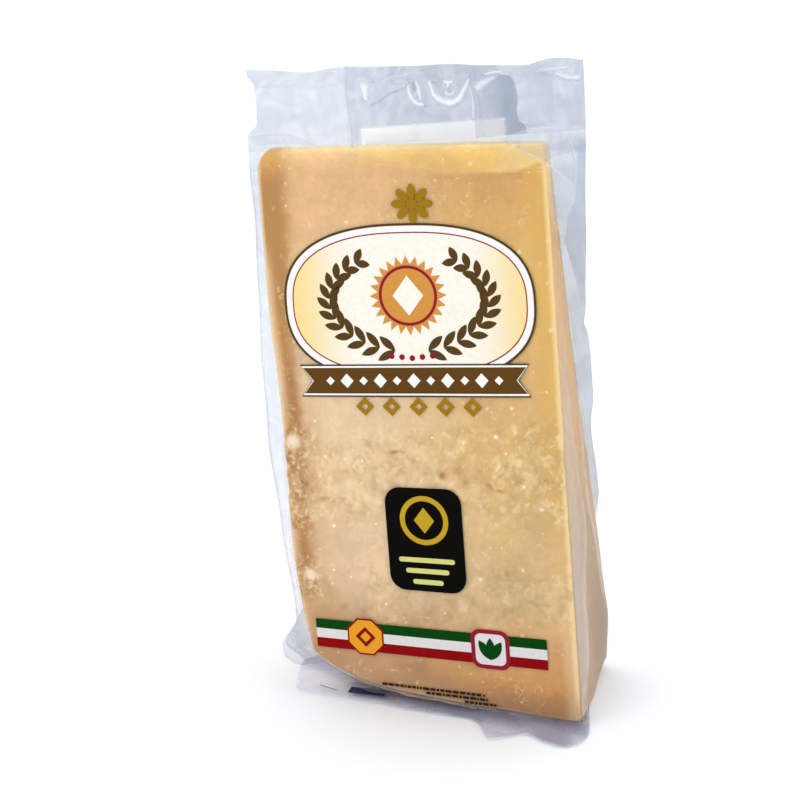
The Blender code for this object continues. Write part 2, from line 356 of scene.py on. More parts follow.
class Graph:
    """A Principled material's nodes, wired by short calls. Values are numbers, colours or sockets."""

    def __init__(self, name, **settings):
        self.material = bpy.data.materials.new(name)
        self.material.use_nodes = True
        self.tree = self.material.node_tree
        self.shader = self.tree.nodes["Principled BSDF"]
        self.set(self.shader, settings)
        coordinates = self.tree.nodes.new("ShaderNodeTexCoord")
        self.place = self.in_pack(coordinates.outputs["Object"], PACK_FRAME.inverted().translation)
        facing = self.in_pack(coordinates.outputs["Normal"], (0, 0, 0))
        split = self.add("ShaderNodeSeparateXYZ", {"Vector": self.place})
        self.u, self.y, self.h = split.outputs
        self.facing = self.add("ShaderNodeSeparateXYZ", {"Vector": facing}).outputs

    def in_pack(self, vector, shift):
        """The vector turned into the pack's own frame."""
        inputs = {"Vector": vector, "Location": shift, "Rotation": PACK_FRAME.inverted().to_euler()}
        return self.add("ShaderNodeMapping", inputs).outputs[0]

    def set(self, node, inputs):
        """Links or sets a node's inputs, named with _ for a space or by number."""
        for key, value in inputs.items():
            socket = node.inputs[key if isinstance(key, int) else key.replace("_", " ")]
            if isinstance(value, bpy.types.NodeSocket):
                self.tree.links.new(value, socket)
            else:
                socket.default_value = value

    def add(self, kind, inputs=None, **settings):
        node = self.tree.nodes.new(kind)
        for key, value in settings.items():
            setattr(node, key, value)
        self.set(node, inputs or {})
        return node

    def math(self, operation, a, b=0.0):
        return self.add("ShaderNodeMath", {0: a, 1: b}, operation=operation).outputs[0]

    def times(self, value, *others):
        """The product of them all."""
        for other in others:
            value = self.math("MULTIPLY", value, other)
        return value

    def rest(self, value):
        """What is left of 1."""
        return self.math("SUBTRACT", 1.0, value)

    def vein(self, noise):
        """0 along the lines where a noise passes its middle."""
        return self.math("ABSOLUTE", self.math("SUBTRACT", noise, 0.5))

    def vector(self, operation, a, b):
        return self.add("ShaderNodeVectorMath", {0: a, 1: b}, operation=operation).outputs

    def band(self, value, low, high, to=(0.0, 1.0)):
        """Smooth step: to[0] at low, to[1] at high."""
        inputs = {"Value": value, "From_Min": low, "From_Max": high, "To_Min": to[0], "To_Max": to[1]}
        if low > high:
            inputs.update({"From_Min": high, "From_Max": low, "To_Min": to[1], "To_Max": to[0]})
        return self.add("ShaderNodeMapRange", inputs, interpolation_type="SMOOTHSTEP").outputs[0]

    def noise(self, size, detail=3.0, roughness=0.5, distortion=0.0, place=None):
        """Noise around 0.5 with features of this size in metres."""
        inputs = {"Vector": place or self.place, "Scale": 1 / size, "Detail": detail}
        inputs.update({"Roughness": roughness, "Distortion": distortion})
        return self.add("ShaderNodeTexNoise", inputs).outputs[0]

    def cells(self, size, place=None):
        """Distance to scattered points, in cell sizes, and a random grey for each."""
        node = self.add("ShaderNodeTexVoronoi", {"Vector": place or self.place, "Scale": 1 / size})
        grey = self.add("ShaderNodeSeparateColor", {"Color": node.outputs["Color"]}).outputs[0]
        return node.outputs["Distance"], grey

    def blend(self, factor, a, b, mode="MIX"):
        node = self.add("ShaderNodeMix", data_type="RGBA", blend_type=mode)
        self.set(node, {0: factor, 6: a, 7: b})
        return node.outputs[2]

    def ramp(self, factor, stops):
        """Colour ramp through (position, colour) stops."""
        node = self.add("ShaderNodeValToRGB", {"Fac": factor})
        elements = node.color_ramp.elements
        while len(elements) < len(stops):
            elements.new(0.5)
        for element, (position, colour) in zip(elements, stops):
            element.position = position
            element.color = colour
        return node.outputs[0]

    def value(self, name):
        """The number that a piece's points carry under this name."""
        return self.add("ShaderNodeAttribute", attribute_name=name).outputs["Fac"]

    def bump(self, height, distance, strength=1.0):
        inputs = {"Height": height, "Distance": distance, "Strength": strength}
        return self.add("ShaderNodeBump", inputs).outputs[0]

    def finish(self, **inputs):
        self.set(self.shader, inputs)
        return self.material


# The paste's colour up the wedge, (h, red, green, blue): towards the rind and towards the cut.
# Both go darker towards the rim: partly the browner paste by the rind, partly painted shade on the lower
# face.
PASTE_LEFT = (
    (0.008, 172, 122, 74), (0.018, 185, 138, 90), (0.030, 202, 157, 111), (0.042, 216, 181, 138),
    (0.060, 231, 197, 159), (0.080, 231, 198, 158), (0.100, 234, 201, 156), (0.112, 233, 203, 161),
    (0.125, 233, 203, 163), (0.160, 229, 193, 146), (0.180, 227, 189, 139), (0.196, 231, 187, 131),
)
PASTE_RIGHT = (
    (0.006, 185, 119, 50), (0.016, 207, 149, 80), (0.026, 210, 157, 93), (0.042, 223, 189, 135),
    (0.060, 219, 182, 124), (0.075, 221, 185, 123), (0.090, 223, 184, 119), (0.105, 222, 183, 115),
    (0.125, 228, 184, 116), (0.145, 234, 191, 118), (0.165, 234, 194, 113), (0.180, 222, 178, 102),
    (0.196, 217, 167, 93),
)
# And where the header's film stands off it, under the apex.
CROWN_LEFT = ((0.2060, 242, 203, 144), (0.2120, 248, 209, 144), (0.2180, 253, 218, 156))
CROWN_RIGHT = ((0.2020, 238, 188, 98), (0.2100, 243, 195, 104), (0.2160, 251, 209, 112))
CUT_SIDE = (
    (0.010, 170, 140, 106), (0.060, 184, 152, 116), (0.120, 210, 170, 120), (0.178, 214, 168, 106),
    (0.196, 232, 190, 126), (0.208, 244, 206, 142),
)
PASTE_HEIGHT = 0.220
# Larger crystals in the front face: u, h and radius.
CRYSTALS = (
    (0.0292, 0.1075, 0.0011), (0.0163, 0.1056, 0.0007), (-0.0374, 0.0750, 0.0010),
    (-0.0204, 0.0754, 0.0006), (-0.0242, 0.0999, 0.0006), (-0.0308, 0.1009, 0.0005),
    (-0.0388, 0.1020, 0.0007), (0.0043, 0.1080, 0.0005), (0.0326, 0.1010, 0.0006),
    (0.0387, 0.0883, 0.0007), (-0.0419, 0.1159, 0.0006), (-0.0321, 0.0549, 0.0006),
    (-0.0387, 0.0578, 0.0006), (-0.0188, 0.0442, 0.0005),
)


class Paste(Graph):
    """The cheese's graph: its shared noises and distances, and the colour that layers go over."""

    def __init__(self):
        gloss = {"Coat_Roughness": 0.22, "Coat_Weight": 0.12, "Specular_IOR_Level": 0.3}
        super().__init__("hard_cheese", IOR=1.45, **gloss)
        self.crumb = self.value("crumb")
        self.from_rim = self.value("from_rim")
        self.from_rind = self.value("from_rind")
        self.cloud = self.noise(0.030, 3.0)
        self.patch = self.noise(0.0080, 5.0, 0.55, 0.8)
        self.clot = self.noise(0.0045, 6.0, 0.6, 0.4)
        self.speck = self.noise(0.0016, 3.0, 0.6)
        self.grain = self.noise(0.0012, 4.0, 0.6)
        self.ragged = self.times(self.math("SUBTRACT", self.patch, 0.5), 0.005)

    def lay(self, share, rgb):
        """Lays this share of a colour over the one so far."""
        self.colour = self.blend(share, self.colour, paint(*rgb))

    def up_ramp(self, height, stops):
        """Colour up the wedge, through (h, red, green, blue) stops."""
        share = self.math("DIVIDE", height, PASTE_HEIGHT)
        return self.ramp(share, [(h / PASTE_HEIGHT, paint(*rgb)) for h, *rgb in stops])


def lay_paste(g):
    """The paste up the wedge, painted shadow just under the film's foot line, its golden crown under the
    apex, and clouding at three scales.
    """
    wander = g.times(g.math("SUBTRACT", g.cloud, 0.5), 0.03)
    height = g.math("ADD", g.h, g.times(wander, g.band(g.h, 0.2, 0.18)))
    g.across = g.band(g.math("ADD", g.u, g.times(wander, 1.5)), -0.022, 0.032)
    g.colour = g.blend(g.across, g.up_ramp(height, PASTE_LEFT), g.up_ramp(height, PASTE_RIGHT))
    # Painted shadow just under the line where the header's film leaves the face.
    g.lay(g.times(g.value("foot_shadow"), 0.45), (206, 158, 84))
    sides = g.up_ramp(height, CROWN_LEFT), g.up_ramp(height, CROWN_RIGHT)
    g.crown = g.value("crown")
    g.colour = g.blend(g.crown, g.colour, g.blend(g.band(g.u, -0.042, 0.004), *sides))
    g.lay(g.times(g.crown, g.band(g.u, 0.028, 0.046, (0.0, 0.65))), (255, 224, 138))
    g.lay(g.band(g.value("from_apex"), 0.0026, 0.0006, (0.0, 0.6)), (255, 234, 172))
    for noise, low, high, span in (
        (g.cloud, 0.34, 0.66, (0.93, 1.05)),
        (g.patch, 0.3, 0.7, (0.94, 1.05)),
        (g.grain, 0.3, 0.7, (0.95, 1.04)),
    ):
        g.colour = g.blend(1.0, g.colour, g.band(noise, low, high, span), "MULTIPLY")


def lay_cut_edge(g):
    """A golden strip, and a painted highlight on the rounded edge, that run down beside the half-height cut.
    """
    gold = g.times(g.band(g.u, 0.044, 0.049), g.band(g.h, 0.030, 0.130), g.rest(g.crown))
    g.lay(g.times(gold, 0.70), (222, 176, 84))
    # Painted highlight where the rounded edge catches the light.
    g.lay(g.band(g.u, 0.0522, 0.0544, (0.0, 0.85)), (247, 220, 160))


def lay_rind_edge(g):
    """Browner paste beside the flat rind, broader near the apex, with a painted highlight on the very edge.
    """
    at_top = g.band(g.h, 0.140, 0.190, (0.0080, 0.0115))
    reach = g.math("MAXIMUM", at_top, g.band(g.h, 0.072, 0.045, (0.0, 0.0140)))
    inside = g.math("SUBTRACT", g.math("ADD", g.from_rind, g.ragged), reach)
    at_top = g.band(g.h, 0.110, 0.160, (1.0, 2.4))
    soft = g.math("MAXIMUM", at_top, g.band(g.h, 0.110, 0.085, (1.0, 2.0)))
    pale = g.times(g.band(g.h, 0.188, 0.170), g.band(g.crumb, 0.5, 0.1))
    pale = g.times(pale, g.band(g.from_rind, 0.0046, 0.0014, (0.0, 0.75)))
    brown = g.times(
        g.band(g.math("DIVIDE", inside, soft), 0.0022, -0.0018),
        g.band(g.from_rind, 0.0006, 0.0020, (0.6, 1.0)),
        g.rest(pale),
        g.band(g.h, 0.046, 0.064, (0.30, 1.0)),
        g.band(g.crumb, 0.9, 0.2, (0.8, 1.0)),
        g.band(g.from_rind, 0.017, 0.0070, (0.55, 1.0)),
    )
    dusk = g.times(g.band(g.from_rind, 0.021, 0.008, (0.0, 0.5)), g.band(g.h, 0.132, 0.118))
    g.lay(dusk, (204, 158, 106))
    tone = g.blend(g.band(g.h, 0.130, 0.150), paint(180, 125, 58), paint(186, 134, 66))
    tone = g.blend(g.band(g.h, 0.206, 0.217), tone, paint(216, 160, 84))
    g.colour = g.blend(brown, g.colour, tone)
    # Painted highlight along the rounded edge by the rind.
    edge = g.times(g.band(g.from_rind, 0.0018, 0.0004, (0.0, 0.75)), g.band(g.crumb, 0.6, 0.2))
    g.lay(edge, (240, 208, 154))


def lay_foot(g):
    """Browner paste above the rim, and a pale corner beside the cut."""
    above = g.band(g.math("ADD", g.from_rim, g.ragged), 0.013, 0.003, (0.0, 0.8))
    tone = g.blend(g.across, paint(188, 142, 96), paint(174, 126, 80))
    g.colour = g.blend(above, g.colour, tone)
    corner = g.times(g.band(g.u, 0.0475, 0.0530), g.band(g.h, 0.036, 0.026), 0.42)
    g.lay(corner, (240, 212, 168))


def lay_crumb(g):
    """The crumbly band: lighter mounds and softly darker hollows, partly their own tone and partly painted
    light and shade, thin cracks in painted shade, and bright flecks.
    """
    # Painted light on the mounds and painted shade in the hollows, over their own tone.
    g.lay(g.times(g.value("lit_mound"), 0.4), (246, 220, 162))
    g.lay(g.times(g.value("shaded_hollow"), 0.22), (204, 164, 104))
    g.lay(g.times(g.band(g.clot, 0.52, 0.70), g.crumb, 0.45), (248, 224, 172))
    g.lay(g.times(g.band(g.clot, 0.48, 0.28), g.crumb, 0.2), (204, 164, 104))
    # Painted shade in thin cracks.
    crack_shade = g.band(g.vein(g.noise(0.0085, 2.0, 0.45, 0.8)), 0.030, 0.004)
    broken = g.band(g.noise(0.0075, 1.0), 0.52, 0.64)
    g.lay(g.times(crack_shade, broken, g.crumb, 0.4), (186, 136, 66))
    for turn in (-0.5, 0.8):
        stretch = {"Vector": g.place, "Rotation": (0.0, turn, 0.0), "Scale": (1.0, 1.0, 2.6)}
        lying = g.add("ShaderNodeMapping", stretch, vector_type="TEXTURE").outputs[0]
        fleck = g.band(g.noise(0.0021, 1.0, place=lying), 0.62, 0.76)
        g.lay(g.times(fleck, g.crumb, 0.42), (253, 234, 188))


def lay_curds(g):
    """Curd lumps, lighter in the middle and golden between, partly their own tone and partly painted light
    and shade, in the crumb and faintly below it.
    """
    push = g.add("ShaderNodeTexNoise", {"Vector": g.place, "Scale": 1 / 0.006, "Detail": 2.0}).outputs[1]
    push = g.vector("SUBTRACT", push, (0.5, 0.5, 0.5))[0]
    push = g.vector("MULTIPLY", push, (0.010, 0.010, 0.010))[0]
    from_middle, curd = g.cells(0.0062, g.vector("ADD", g.place, push)[0])
    # Painted light on each curd's middle and painted shade in the golden gaps between, over their own tone.
    lit = g.times(g.band(from_middle, 0.42, 0.10), g.band(curd, 0.1, 0.8, (0.2, 0.62)))
    gap_shade = g.times(g.band(from_middle, 0.42, 0.66), g.band(g.clot, 0.44, 0.60, (0.05, 0.5)))
    g.lay(g.times(lit, g.crumb), (250, 228, 178))
    g.lay(g.times(gap_shade, g.crumb), (192, 146, 80))
    below = g.times(g.band(g.h, 0.066, 0.054), g.band(g.h, 0.030, 0.040), g.rest(g.crumb))
    below = g.times(below, g.band(g.from_rind, 0.018, 0.034))
    g.lay(g.times(lit, below, 0.5), (246, 226, 180))
    g.lay(g.times(gap_shade, below, 0.7), (166, 142, 96))


def lay_marks(g):
    """Specks and flour in the crumb by the rind, pits, and short curls where the film clings."""
    by_rind = g.times(g.crumb, g.band(g.from_rind, 0.013, 0.006))
    g.lay(g.times(by_rind, g.band(g.speck, 0.46, 0.36, (0.0, 0.65))), (134, 84, 50))
    g.lay(g.times(by_rind, g.band(g.speck, 0.56, 0.64, (0.0, 0.65))), (250, 226, 190))
    g.lay(g.times(g.value("flour"), g.band(g.patch, 0.36, 0.52), 0.9), (250, 232, 202))
    # Pits go browner: partly their own colour, partly painted shade in the hollow.
    g.lay(g.times(g.value("pit"), g.band(g.patch, 0.35, 0.6, (0.65, 0.95))), (166, 112, 30))
    curl = g.band(g.vein(g.noise(0.0058, 2.0, 0.5, 1.2)), 0.026, 0.004)
    broken = g.band(g.noise(0.007, 1.0), 0.52, 0.62)
    g.lay(g.times(curl, broken, 0.4), (248, 220, 156))


def lay_cut(g):
    """The cut at half height: greyer, with painted shade low at the back."""
    cut = g.up_ramp(g.h, CUT_SIDE)
    # Painted shade low at the back, near the floor.
    low_back_shade = g.times(g.band(g.y, -0.004, 0.018), g.band(g.h, 0.060, 0.012), 0.85)
    cut = g.blend(low_back_shade, cut, paint(138, 112, 86))
    cut = g.blend(1.0, cut, g.band(g.clot, 0.3, 0.7, (0.92, 1.05)), "MULTIPLY")
    g.colour = g.blend(g.band(g.facing[0], 0.75, 0.97), g.colour, cut)


def lay_rind(g):
    """Rind on the wheel's flat face and rim."""
    rind = g.math("MAXIMUM", g.band(g.facing[0], -0.5, -0.9), g.band(g.facing[2], -0.55, -0.85))
    tan = g.ramp(g.noise(0.006, 5.0), ((0.3, paint(176, 122, 62)), (0.7, paint(206, 156, 92))))
    g.colour = g.blend(rind, g.colour, tan)


def lay_crystals(g):
    """White crystals: fine ones scattered, larger ones placed."""
    uneven = g.times(g.math("SUBTRACT", g.speck, 0.5), 0.5)
    for size, share, radius, strength in ((0.0040, 0.45, 0.17, 0.45), (0.0085, 0.30, 0.12, 0.7)):
        distance, grey = g.cells(size)
        near = g.band(g.math("ADD", distance, g.times(uneven, 0.5)), radius, radius * 0.4)
        g.lay(g.times(near, g.math("LESS_THAN", grey, share), strength), (254, 236, 196))
    flat_place = g.add("ShaderNodeCombineXYZ", {"X": g.u, "Z": g.h}).outputs[0]
    for u, h, radius in CRYSTALS:
        away = g.vector("DISTANCE", flat_place, (u, 0.0, h))["Value"]
        reach = g.math("ADD", away, g.times(uneven, radius))
        g.lay(g.band(reach, radius * 1.1, radius * 0.5, (0.0, 0.85)), (254, 240, 208))


# In the order in which they go over each other.
PASTE_LAYERS = (
    lay_paste, lay_cut_edge, lay_rind_edge, lay_foot, lay_crumb,
    lay_curds, lay_marks, lay_cut, lay_rind, lay_crystals,
)


def cheese_material():
    """Straw-coloured paste, browner near the rind, with crystals, pits and a fine grain."""
    g = Paste()
    for lay in PASTE_LAYERS:
        lay(g)
    depth = {"Subsurface_Weight": 0.35, "Subsurface_Radius": (1.0, 0.62, 0.28), "Subsurface_Scale": 0.0045}
    g.set(g.shader, depth)
    relief = g.bump(g.math("ADD", g.times(g.grain, 0.5), g.patch), 0.0012, 0.35)
    roughness = g.band(g.grain, 0.2, 0.8, (0.42, 0.62))
    return g.finish(Base_Color=g.colour, Normal=relief, Roughness=roughness)


FILM_SHADE = (128, 138, 158)
FILM_HIGHLIGHT = (252, 253, 255)


def film_material(name, tint, alpha, dark=FILM_SHADE, specular=0.8, white=FILM_HIGHLIGHT):
    """Clear film: faint tint, glossy, whiter along creases as a painted highlight, darker in folds as
    painted shade, clearest where thin is 1.
    """
    g = Graph(name, Roughness=0.12, IOR=1.5, Specular_IOR_Level=specular)
    crease_highlight, veil, shade, thin = (g.value(key) for key in ("crease_highlight", "veil", "shade", "thin"))
    ripple = g.noise(0.012, 3.0, distortion=1.5)
    upright = g.add("ShaderNodeMapping", {"Vector": g.place, "Scale": (1, 1, 0.2)}).outputs[0]
    streaks = g.noise(0.003, 2.0, place=upright)
    # Painted highlight: whiter and more opaque along creases. Painted shade: darker where shade is set.
    colour = g.blend(g.times(crease_highlight, 0.9), paint(*tint), paint(*white))
    colour = g.blend(shade, colour, paint(*dark))
    uneven = g.math("ADD", ripple, g.times(streaks, 0.4))
    haze = g.band(uneven, 0.45, 0.95, (alpha * 0.75, alpha * 1.25))
    cover = g.times(haze, g.rest(thin))
    for value, share in ((crease_highlight, 0.66), (veil, 0.35), (shade, 0.5)):
        cover = g.math("ADD", cover, g.times(value, share))
    cover = g.math("MINIMUM", cover, 0.96)
    return g.finish(Base_Color=colour, Alpha=cover, Normal=g.bump(ripple, 0.0006, 0.3))


def ink_material(name, colour, roughness=0.55, second=None, spread=0.0):
    """Printed ink with faint unevenness; second takes over away from the plaque's middle."""
    g = Graph(f"ink_{name}", Roughness=roughness, IOR=1.45, Specular_IOR_Level=0.06)
    mottle = g.noise(0.0016, 3.0)
    colour = paint(*colour)
    base = colour
    if second:
        away = g.math("ABSOLUTE", g.u)
        base = g.blend(g.band(away, spread * 0.45, spread), colour, paint(*second))
    shade = tuple(channel * 0.82 for channel in colour[:3]) + (1.0,)
    base = g.blend(g.band(mottle, 0.35, 0.75, (0.0, 0.35)), base, shade)
    return g.finish(Base_Color=base, Normal=g.bump(g.noise(0.004, 2.0), 0.0003, 0.25))


def label_material():
    """Matt white sticker with a faint paper tooth."""
    g = Graph("label_paper", Roughness=0.55, IOR=1.45)
    depth = {"Subsurface_Weight": 1.0, "Subsurface_Radius": (1.0, 1.0, 1.0), "Subsurface_Scale": 0.003}
    g.set(g.shader, depth)
    tooth = g.noise(0.0009, 4.0)
    uneven = g.band(tooth, 0.3, 0.7, (0.25, 0.0))
    colour = g.blend(uneven, paint(234, 230, 222), paint(220, 217, 210))
    return g.finish(Base_Color=colour, Normal=g.bump(tooth, 0.0002, 0.3))


# ---------------------------------------------------------------- cheese

CHEESE_EDGE_RADIUS = 0.0016
CRUMB_BAND = (0.074, 0.112)
PIT_DEPTH = 0.0006
# Pits in the front face: u, h, half length, half height, turn and strength.
PITS = (
    (-0.0111, 0.1028, 0.0022, 0.0009, 0.1, 0.9), (-0.0080, 0.1030, 0.0009, 0.0009, 0.0, 0.8),
    (-0.0002, 0.1059, 0.0010, 0.0006, 0.6, 0.7), (-0.0217, 0.1068, 0.0014, 0.0008, -0.5, 0.4),
    (-0.0038, 0.0990, 0.0007, 0.0007, 0.0, 0.6), (-0.0191, 0.0971, 0.0012, 0.0008, 0.0, 0.4),
    (0.0071, 0.0933, 0.0015, 0.0014, 0.8, 1.0), (0.0135, 0.0947, 0.0016, 0.0030, -0.3, 0.45),
    (0.0160, 0.0905, 0.0010, 0.0018, 0.0, 0.45), (0.0252, 0.0885, 0.0008, 0.0016, 0.7, 1.0),
    (0.0293, 0.0868, 0.0026, 0.0006, -0.2, 0.7), (0.0365, 0.0899, 0.0026, 0.0006, 0.6, 0.5),
    (0.0323, 0.0961, 0.0008, 0.0015, 0.2, 0.7), (-0.0410, 0.0856, 0.0020, 0.0007, 0.1, 0.8),
    (-0.0331, 0.0852, 0.0012, 0.0006, 0.5, 0.5), (0.0469, 0.0904, 0.0016, 0.0006, 0.1, 0.5),
    (-0.0474, 0.0918, 0.0009, 0.0008, 0.0, 0.9), (0.0300, 0.0550, 0.0010, 0.0022, 0.4, 0.35),
    (-0.0360, 0.0430, 0.0016, 0.0010, 0.5, 0.5), (-0.0280, 0.0410, 0.0012, 0.0014, 0.2, 0.4),
    (0.0395, 0.0440, 0.0020, 0.0008, -0.6, 0.4),
)


CRUMB_DRIFT = 0.022


def crumb_share(points):
    """How crumbly the paste is: a band across the middle and two patches by the rind."""
    u, h = points[..., 0], points[..., 2]
    drift = (fractal(points, 0.016) - 0.5) * CRUMB_DRIFT
    low, high = CRUMB_BAND
    band = ease(low - 0.006, low + 0.005, h + drift) * (1 - ease(high - 0.006, high + 0.004, h + drift))
    by_rind = 1 - ease(0.010, 0.018, u - curve_at(RIND_OUTLINE, h) + drift / 2)
    patches = np.maximum(bump_at(0.093, 0.013, h), bump_at(0.054, 0.007, h))
    return np.clip(np.maximum(band * 0.85, by_rind * patches), 0.0, 1.0)


def pit_share(points):
    """The listed pits of the front face."""
    u, h = points[:, 0], points[:, 2]
    pits = np.zeros_like(u)
    for middle_u, middle_h, length, height, turn, strength in PITS:
        du, dh = u - middle_u, h - middle_h
        along = du * cos(turn) + dh * sin(turn)
        beside = dh * cos(turn) - du * sin(turn)
        pits = np.maximum(pits, strength * np.exp(-((along / length) ** 2) - (beside / height) ** 2))
    return pits * (points[:, 1] < 0)


def band_steps(band, inside, outside, length):
    """Steps from 0 to 1 of a length, inside steps over the band and outside ones over the rest."""
    low, high = (height / length for height in band)
    below = ceil(outside * low / (1 - high + low))
    parts = (
        np.linspace(0.0, low, below, endpoint=False),
        np.linspace(low, high, inside, endpoint=False),
        np.linspace(high, 1.0, outside - below + 1),
    )
    return np.concatenate(parts)


# Where the crumb beside the rind is floury: u, h and radius.
FLOUR = ((-0.0515, 0.1080, 0.0030), (-0.0485, 0.0560, 0.0026))


def patch_at(spot, points):
    """1 in a round spot, falling quickly away around it."""
    u, h, radius = spot
    return np.exp(-(((points[:, 0] - u) ** 2 + (points[:, 2] - h) ** 2) / radius**2) ** 2)


WAVE_RISE = 0.0006
LUMP_RISE = 0.0016
GRAIN_RISE = 0.0001
LUMP_LEVEL = 0.62  # only what is lumpier than this stands up
HIGHEST_RISE = 0.00015


def cheese_piece():
    """The chunk: waves, lumps in the crumb, pits and a fine grain."""
    rows = band_steps(CRUMB_BAND, 66, 164, APEX_HEIGHT)
    points, across, out, faces = wedge_skin(128, 16, rows, CHEESE_EDGE_RADIUS)
    crumb = crumb_share(points)
    pits = pit_share(points)
    lumps = fractal(points, 0.0050, 3)
    relief = (GRAIN_RISE + LUMP_RISE * crumb) * (lumps - LUMP_LEVEL) - PIT_DEPTH * pits
    relief += WAVE_RISE * (fractal(points, 0.028, 2) - 0.5)
    relief += GRAIN_RISE * (fractal(points, 0.0016, 2) - 0.5)
    points = points + out * np.minimum(relief, HIGHEST_RISE)[:, None]
    u, h = points[:, 0], points[:, 2]
    above_foot = h - curve_at(FRONT_FOOT, u)
    soft = mix(0.0085, 0.0006, ease(-0.030, 0.008, u))
    values = {
        "crumb": crumb,
        "pit": pits,
        "lit_mound": ease(0.56, 0.72, lumps) * crumb,
        "shaded_hollow": ease(0.48, 0.32, lumps) * crumb,
        "flour": np.maximum(*(patch_at(spot, points) for spot in FLOUR)),
        "crown": ease(-1.0, 1.0, above_foot / soft),
        "foot_shadow": bump_at(-0.0016, 0.0014, above_foot) * ease(-0.010, 0.040, u),
        "from_rim": h - rim_height(u, across),
        "from_rind": u - curve_at(RIND_OUTLINE, h),
        "from_apex": apex_ridge(u) - h,
    }
    cheese = add_piece("cheese_chunk", points, faces, cheese_material(), values)
    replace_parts(cheese, "sealed_pack")


# ---------------------------------------------------------------- film on the cheese


SKIN_DRIFT = 0.0005


def skin_drift(points):
    return (fractal(points, 0.030, 2) - 0.5) * SKIN_DRIFT


def face_half(u, h):
    """Distance of the tight film from the wedge's middle plane, on its front and back."""
    return thickness_at(h) / 2 + SKIN_GAP + skin_drift(in_plane(u, h))


# Where the film bridges from the front edge onto the cut at half height: (h, across).
STRIP_EDGE = (
    (0.0038, -0.86), (0.0138, -0.48), (0.0228, -0.35), (0.0423, -0.28), (0.0673, 0.04), (0.0977, -0.24),
)
# Pleats down the cut at half height: (h, across) path, width across and whiteness, a painted highlight.
PLEATS = (
    (
        ((0.030, 0.47), (0.0546, 0.41), (0.0743, 0.27), (0.0867, 0.26), (0.1019, 0.44), (0.125, 0.50)),
        0.05,
        0.55,
    ),
    (((0.060, 0.62), (0.0837, 0.66), (0.1021, 0.78), (0.118, 0.80)), 0.05, 0.40),
    (((0.036, -0.28), (0.0425, -0.24), (0.0673, 0.04), (0.0977, -0.24), (0.125, -0.44)), 0.06, 0.30),
)


PLEAT_RISE = 0.0009


def pleat_marks(points, across):
    """How far each point stands on a pleat, the pleats' whiteness as a painted highlight, and painted shade
    beside them.
    """
    h = points[:, 2]
    pleated, white, dark = np.zeros((3, len(h)))
    for path, width, strength in PLEATS:
        low, high = path[0][0], path[-1][0]
        length = ease(low - 0.004, low + 0.006, h) * (1 - ease(high - 0.010, high + 0.004, h))
        broken = 0.45 + 0.55 * ease(0.35, 0.6, fractal(points / (1, 1, 2) + low, 0.006, 2))
        middle = curve_at(path, h)
        pleat = bump_at(middle, width, across) * length
        beside = bump_at(middle - 2.2 * width, width, across) * length
        pleated = pleated + pleat
        white = np.maximum(white, strength * broken * pleat**2)
        dark = np.maximum(dark, 0.5 * strength * (1.2 - broken) * beside)
    return pleated, white, dark


def skin_piece():
    """The film drawn tight over the cheese, with pleats down the half-height cut."""
    points, across, out, faces = wedge_skin(64, 44, 120, CHEESE_EDGE_RADIUS + SKIN_GAP)
    h = points[:, 2]
    on_side = ease(0.75, 0.95, out[:, 0])
    pleated, white, dark = pleat_marks(points, across)
    offset = SKIN_GAP + skin_drift(points) * np.abs(out[:, 1]) + PLEAT_RISE * pleated * on_side
    points = points + out * offset[:, None]
    bridging = ease(0.06, -0.06, across - curve_at(STRIP_EDGE, h)) * (1 - ease(0.130, 0.160, h))
    bridging = 0.52 * bridging * (1 - ease(0.040, 0.090, h) * 0.35)
    fold = on_side * bump_at(-0.62, 0.22, across) * bump_at(0.112, 0.016, h)
    values = {
        # Painted highlights on the pleats.
        "crease_highlight": white * on_side**2,
        "veil": on_side * (0.10 - 0.08 * ease(0.08, 0.14, h) + bridging),
        "shade": np.maximum(0.30 * fold, dark * on_side),
        "thin": 0 * h,
    }
    tight = film_material("film_tight", (224, 216, 208), 0.05, dark=(120, 106, 80), specular=0.4)
    skin = add_piece("film_skin", points, faces, tight, values)
    skin.visible_shadow = False
    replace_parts(skin, "sealed_pack")


# ---------------------------------------------------------------- free film


margin_left = curve(LEFT_MARGIN)
margin_right = curve(RIGHT_MARGIN)
header_top = curve([(u, h - LAYER_GAP) for u, h in HEADER_EDGE])


def film_middle(u, h):
    """Where the free film lies through the pack's thickness."""
    a = (u - margin_left(h)) / (margin_right(h) - margin_left(h))
    share = mix(*MARGIN_DEPTH, a) * (1 - ease(*MARGIN_FADE, h))
    height, length, phase = MARGIN_WAVE
    margin_wave = height * np.sin(2 * pi * h / length + phase * a)
    header_wave = sum(rise * np.sin(2 * pi * u / span + start) for rise, span, start in HEADER_WAVES)
    return share * thickness_at(h) + margin_wave + header_wave * ease(APEX_HEIGHT, HEADER_EDGE[0][1], h)


def tent_half(u, h):
    """Half the distance between the header's front and back film."""
    left = curve_at(RIND_OUTLINE, h)
    inside = ease(left - 0.003, left + 0.005, u) * (1 - ease(CUT_EDGE_U - 0.004, CUT_EDGE_U + 0.009, u))
    open_share = inside * (1 - ease(*TENT_SLOPE, h))
    over_cheese = np.where(u < CUT_EDGE_U, chunk_half(u, h) + SKIN_GAP, 0.0)
    return np.maximum(mix(LAYER_GAP, TENT_THICKNESS, open_share) / 2, over_cheese * ease(0, 0.002, u - left))


def span_grid(left, right, bottom, top, columns, rows):
    """Grid (u, h, a) that fills the outline between two side curves and two end curves."""
    a, c = np.meshgrid(np.linspace(0, 1, columns), np.linspace(0, 1, rows))
    u = mix(left(0.1 + 0 * a), right(0.1 + 0 * a), a)
    for _ in range(6):
        h = mix(bottom(u), top(u), c)
        u = mix(left(h), right(h), a)
    return u, h, a


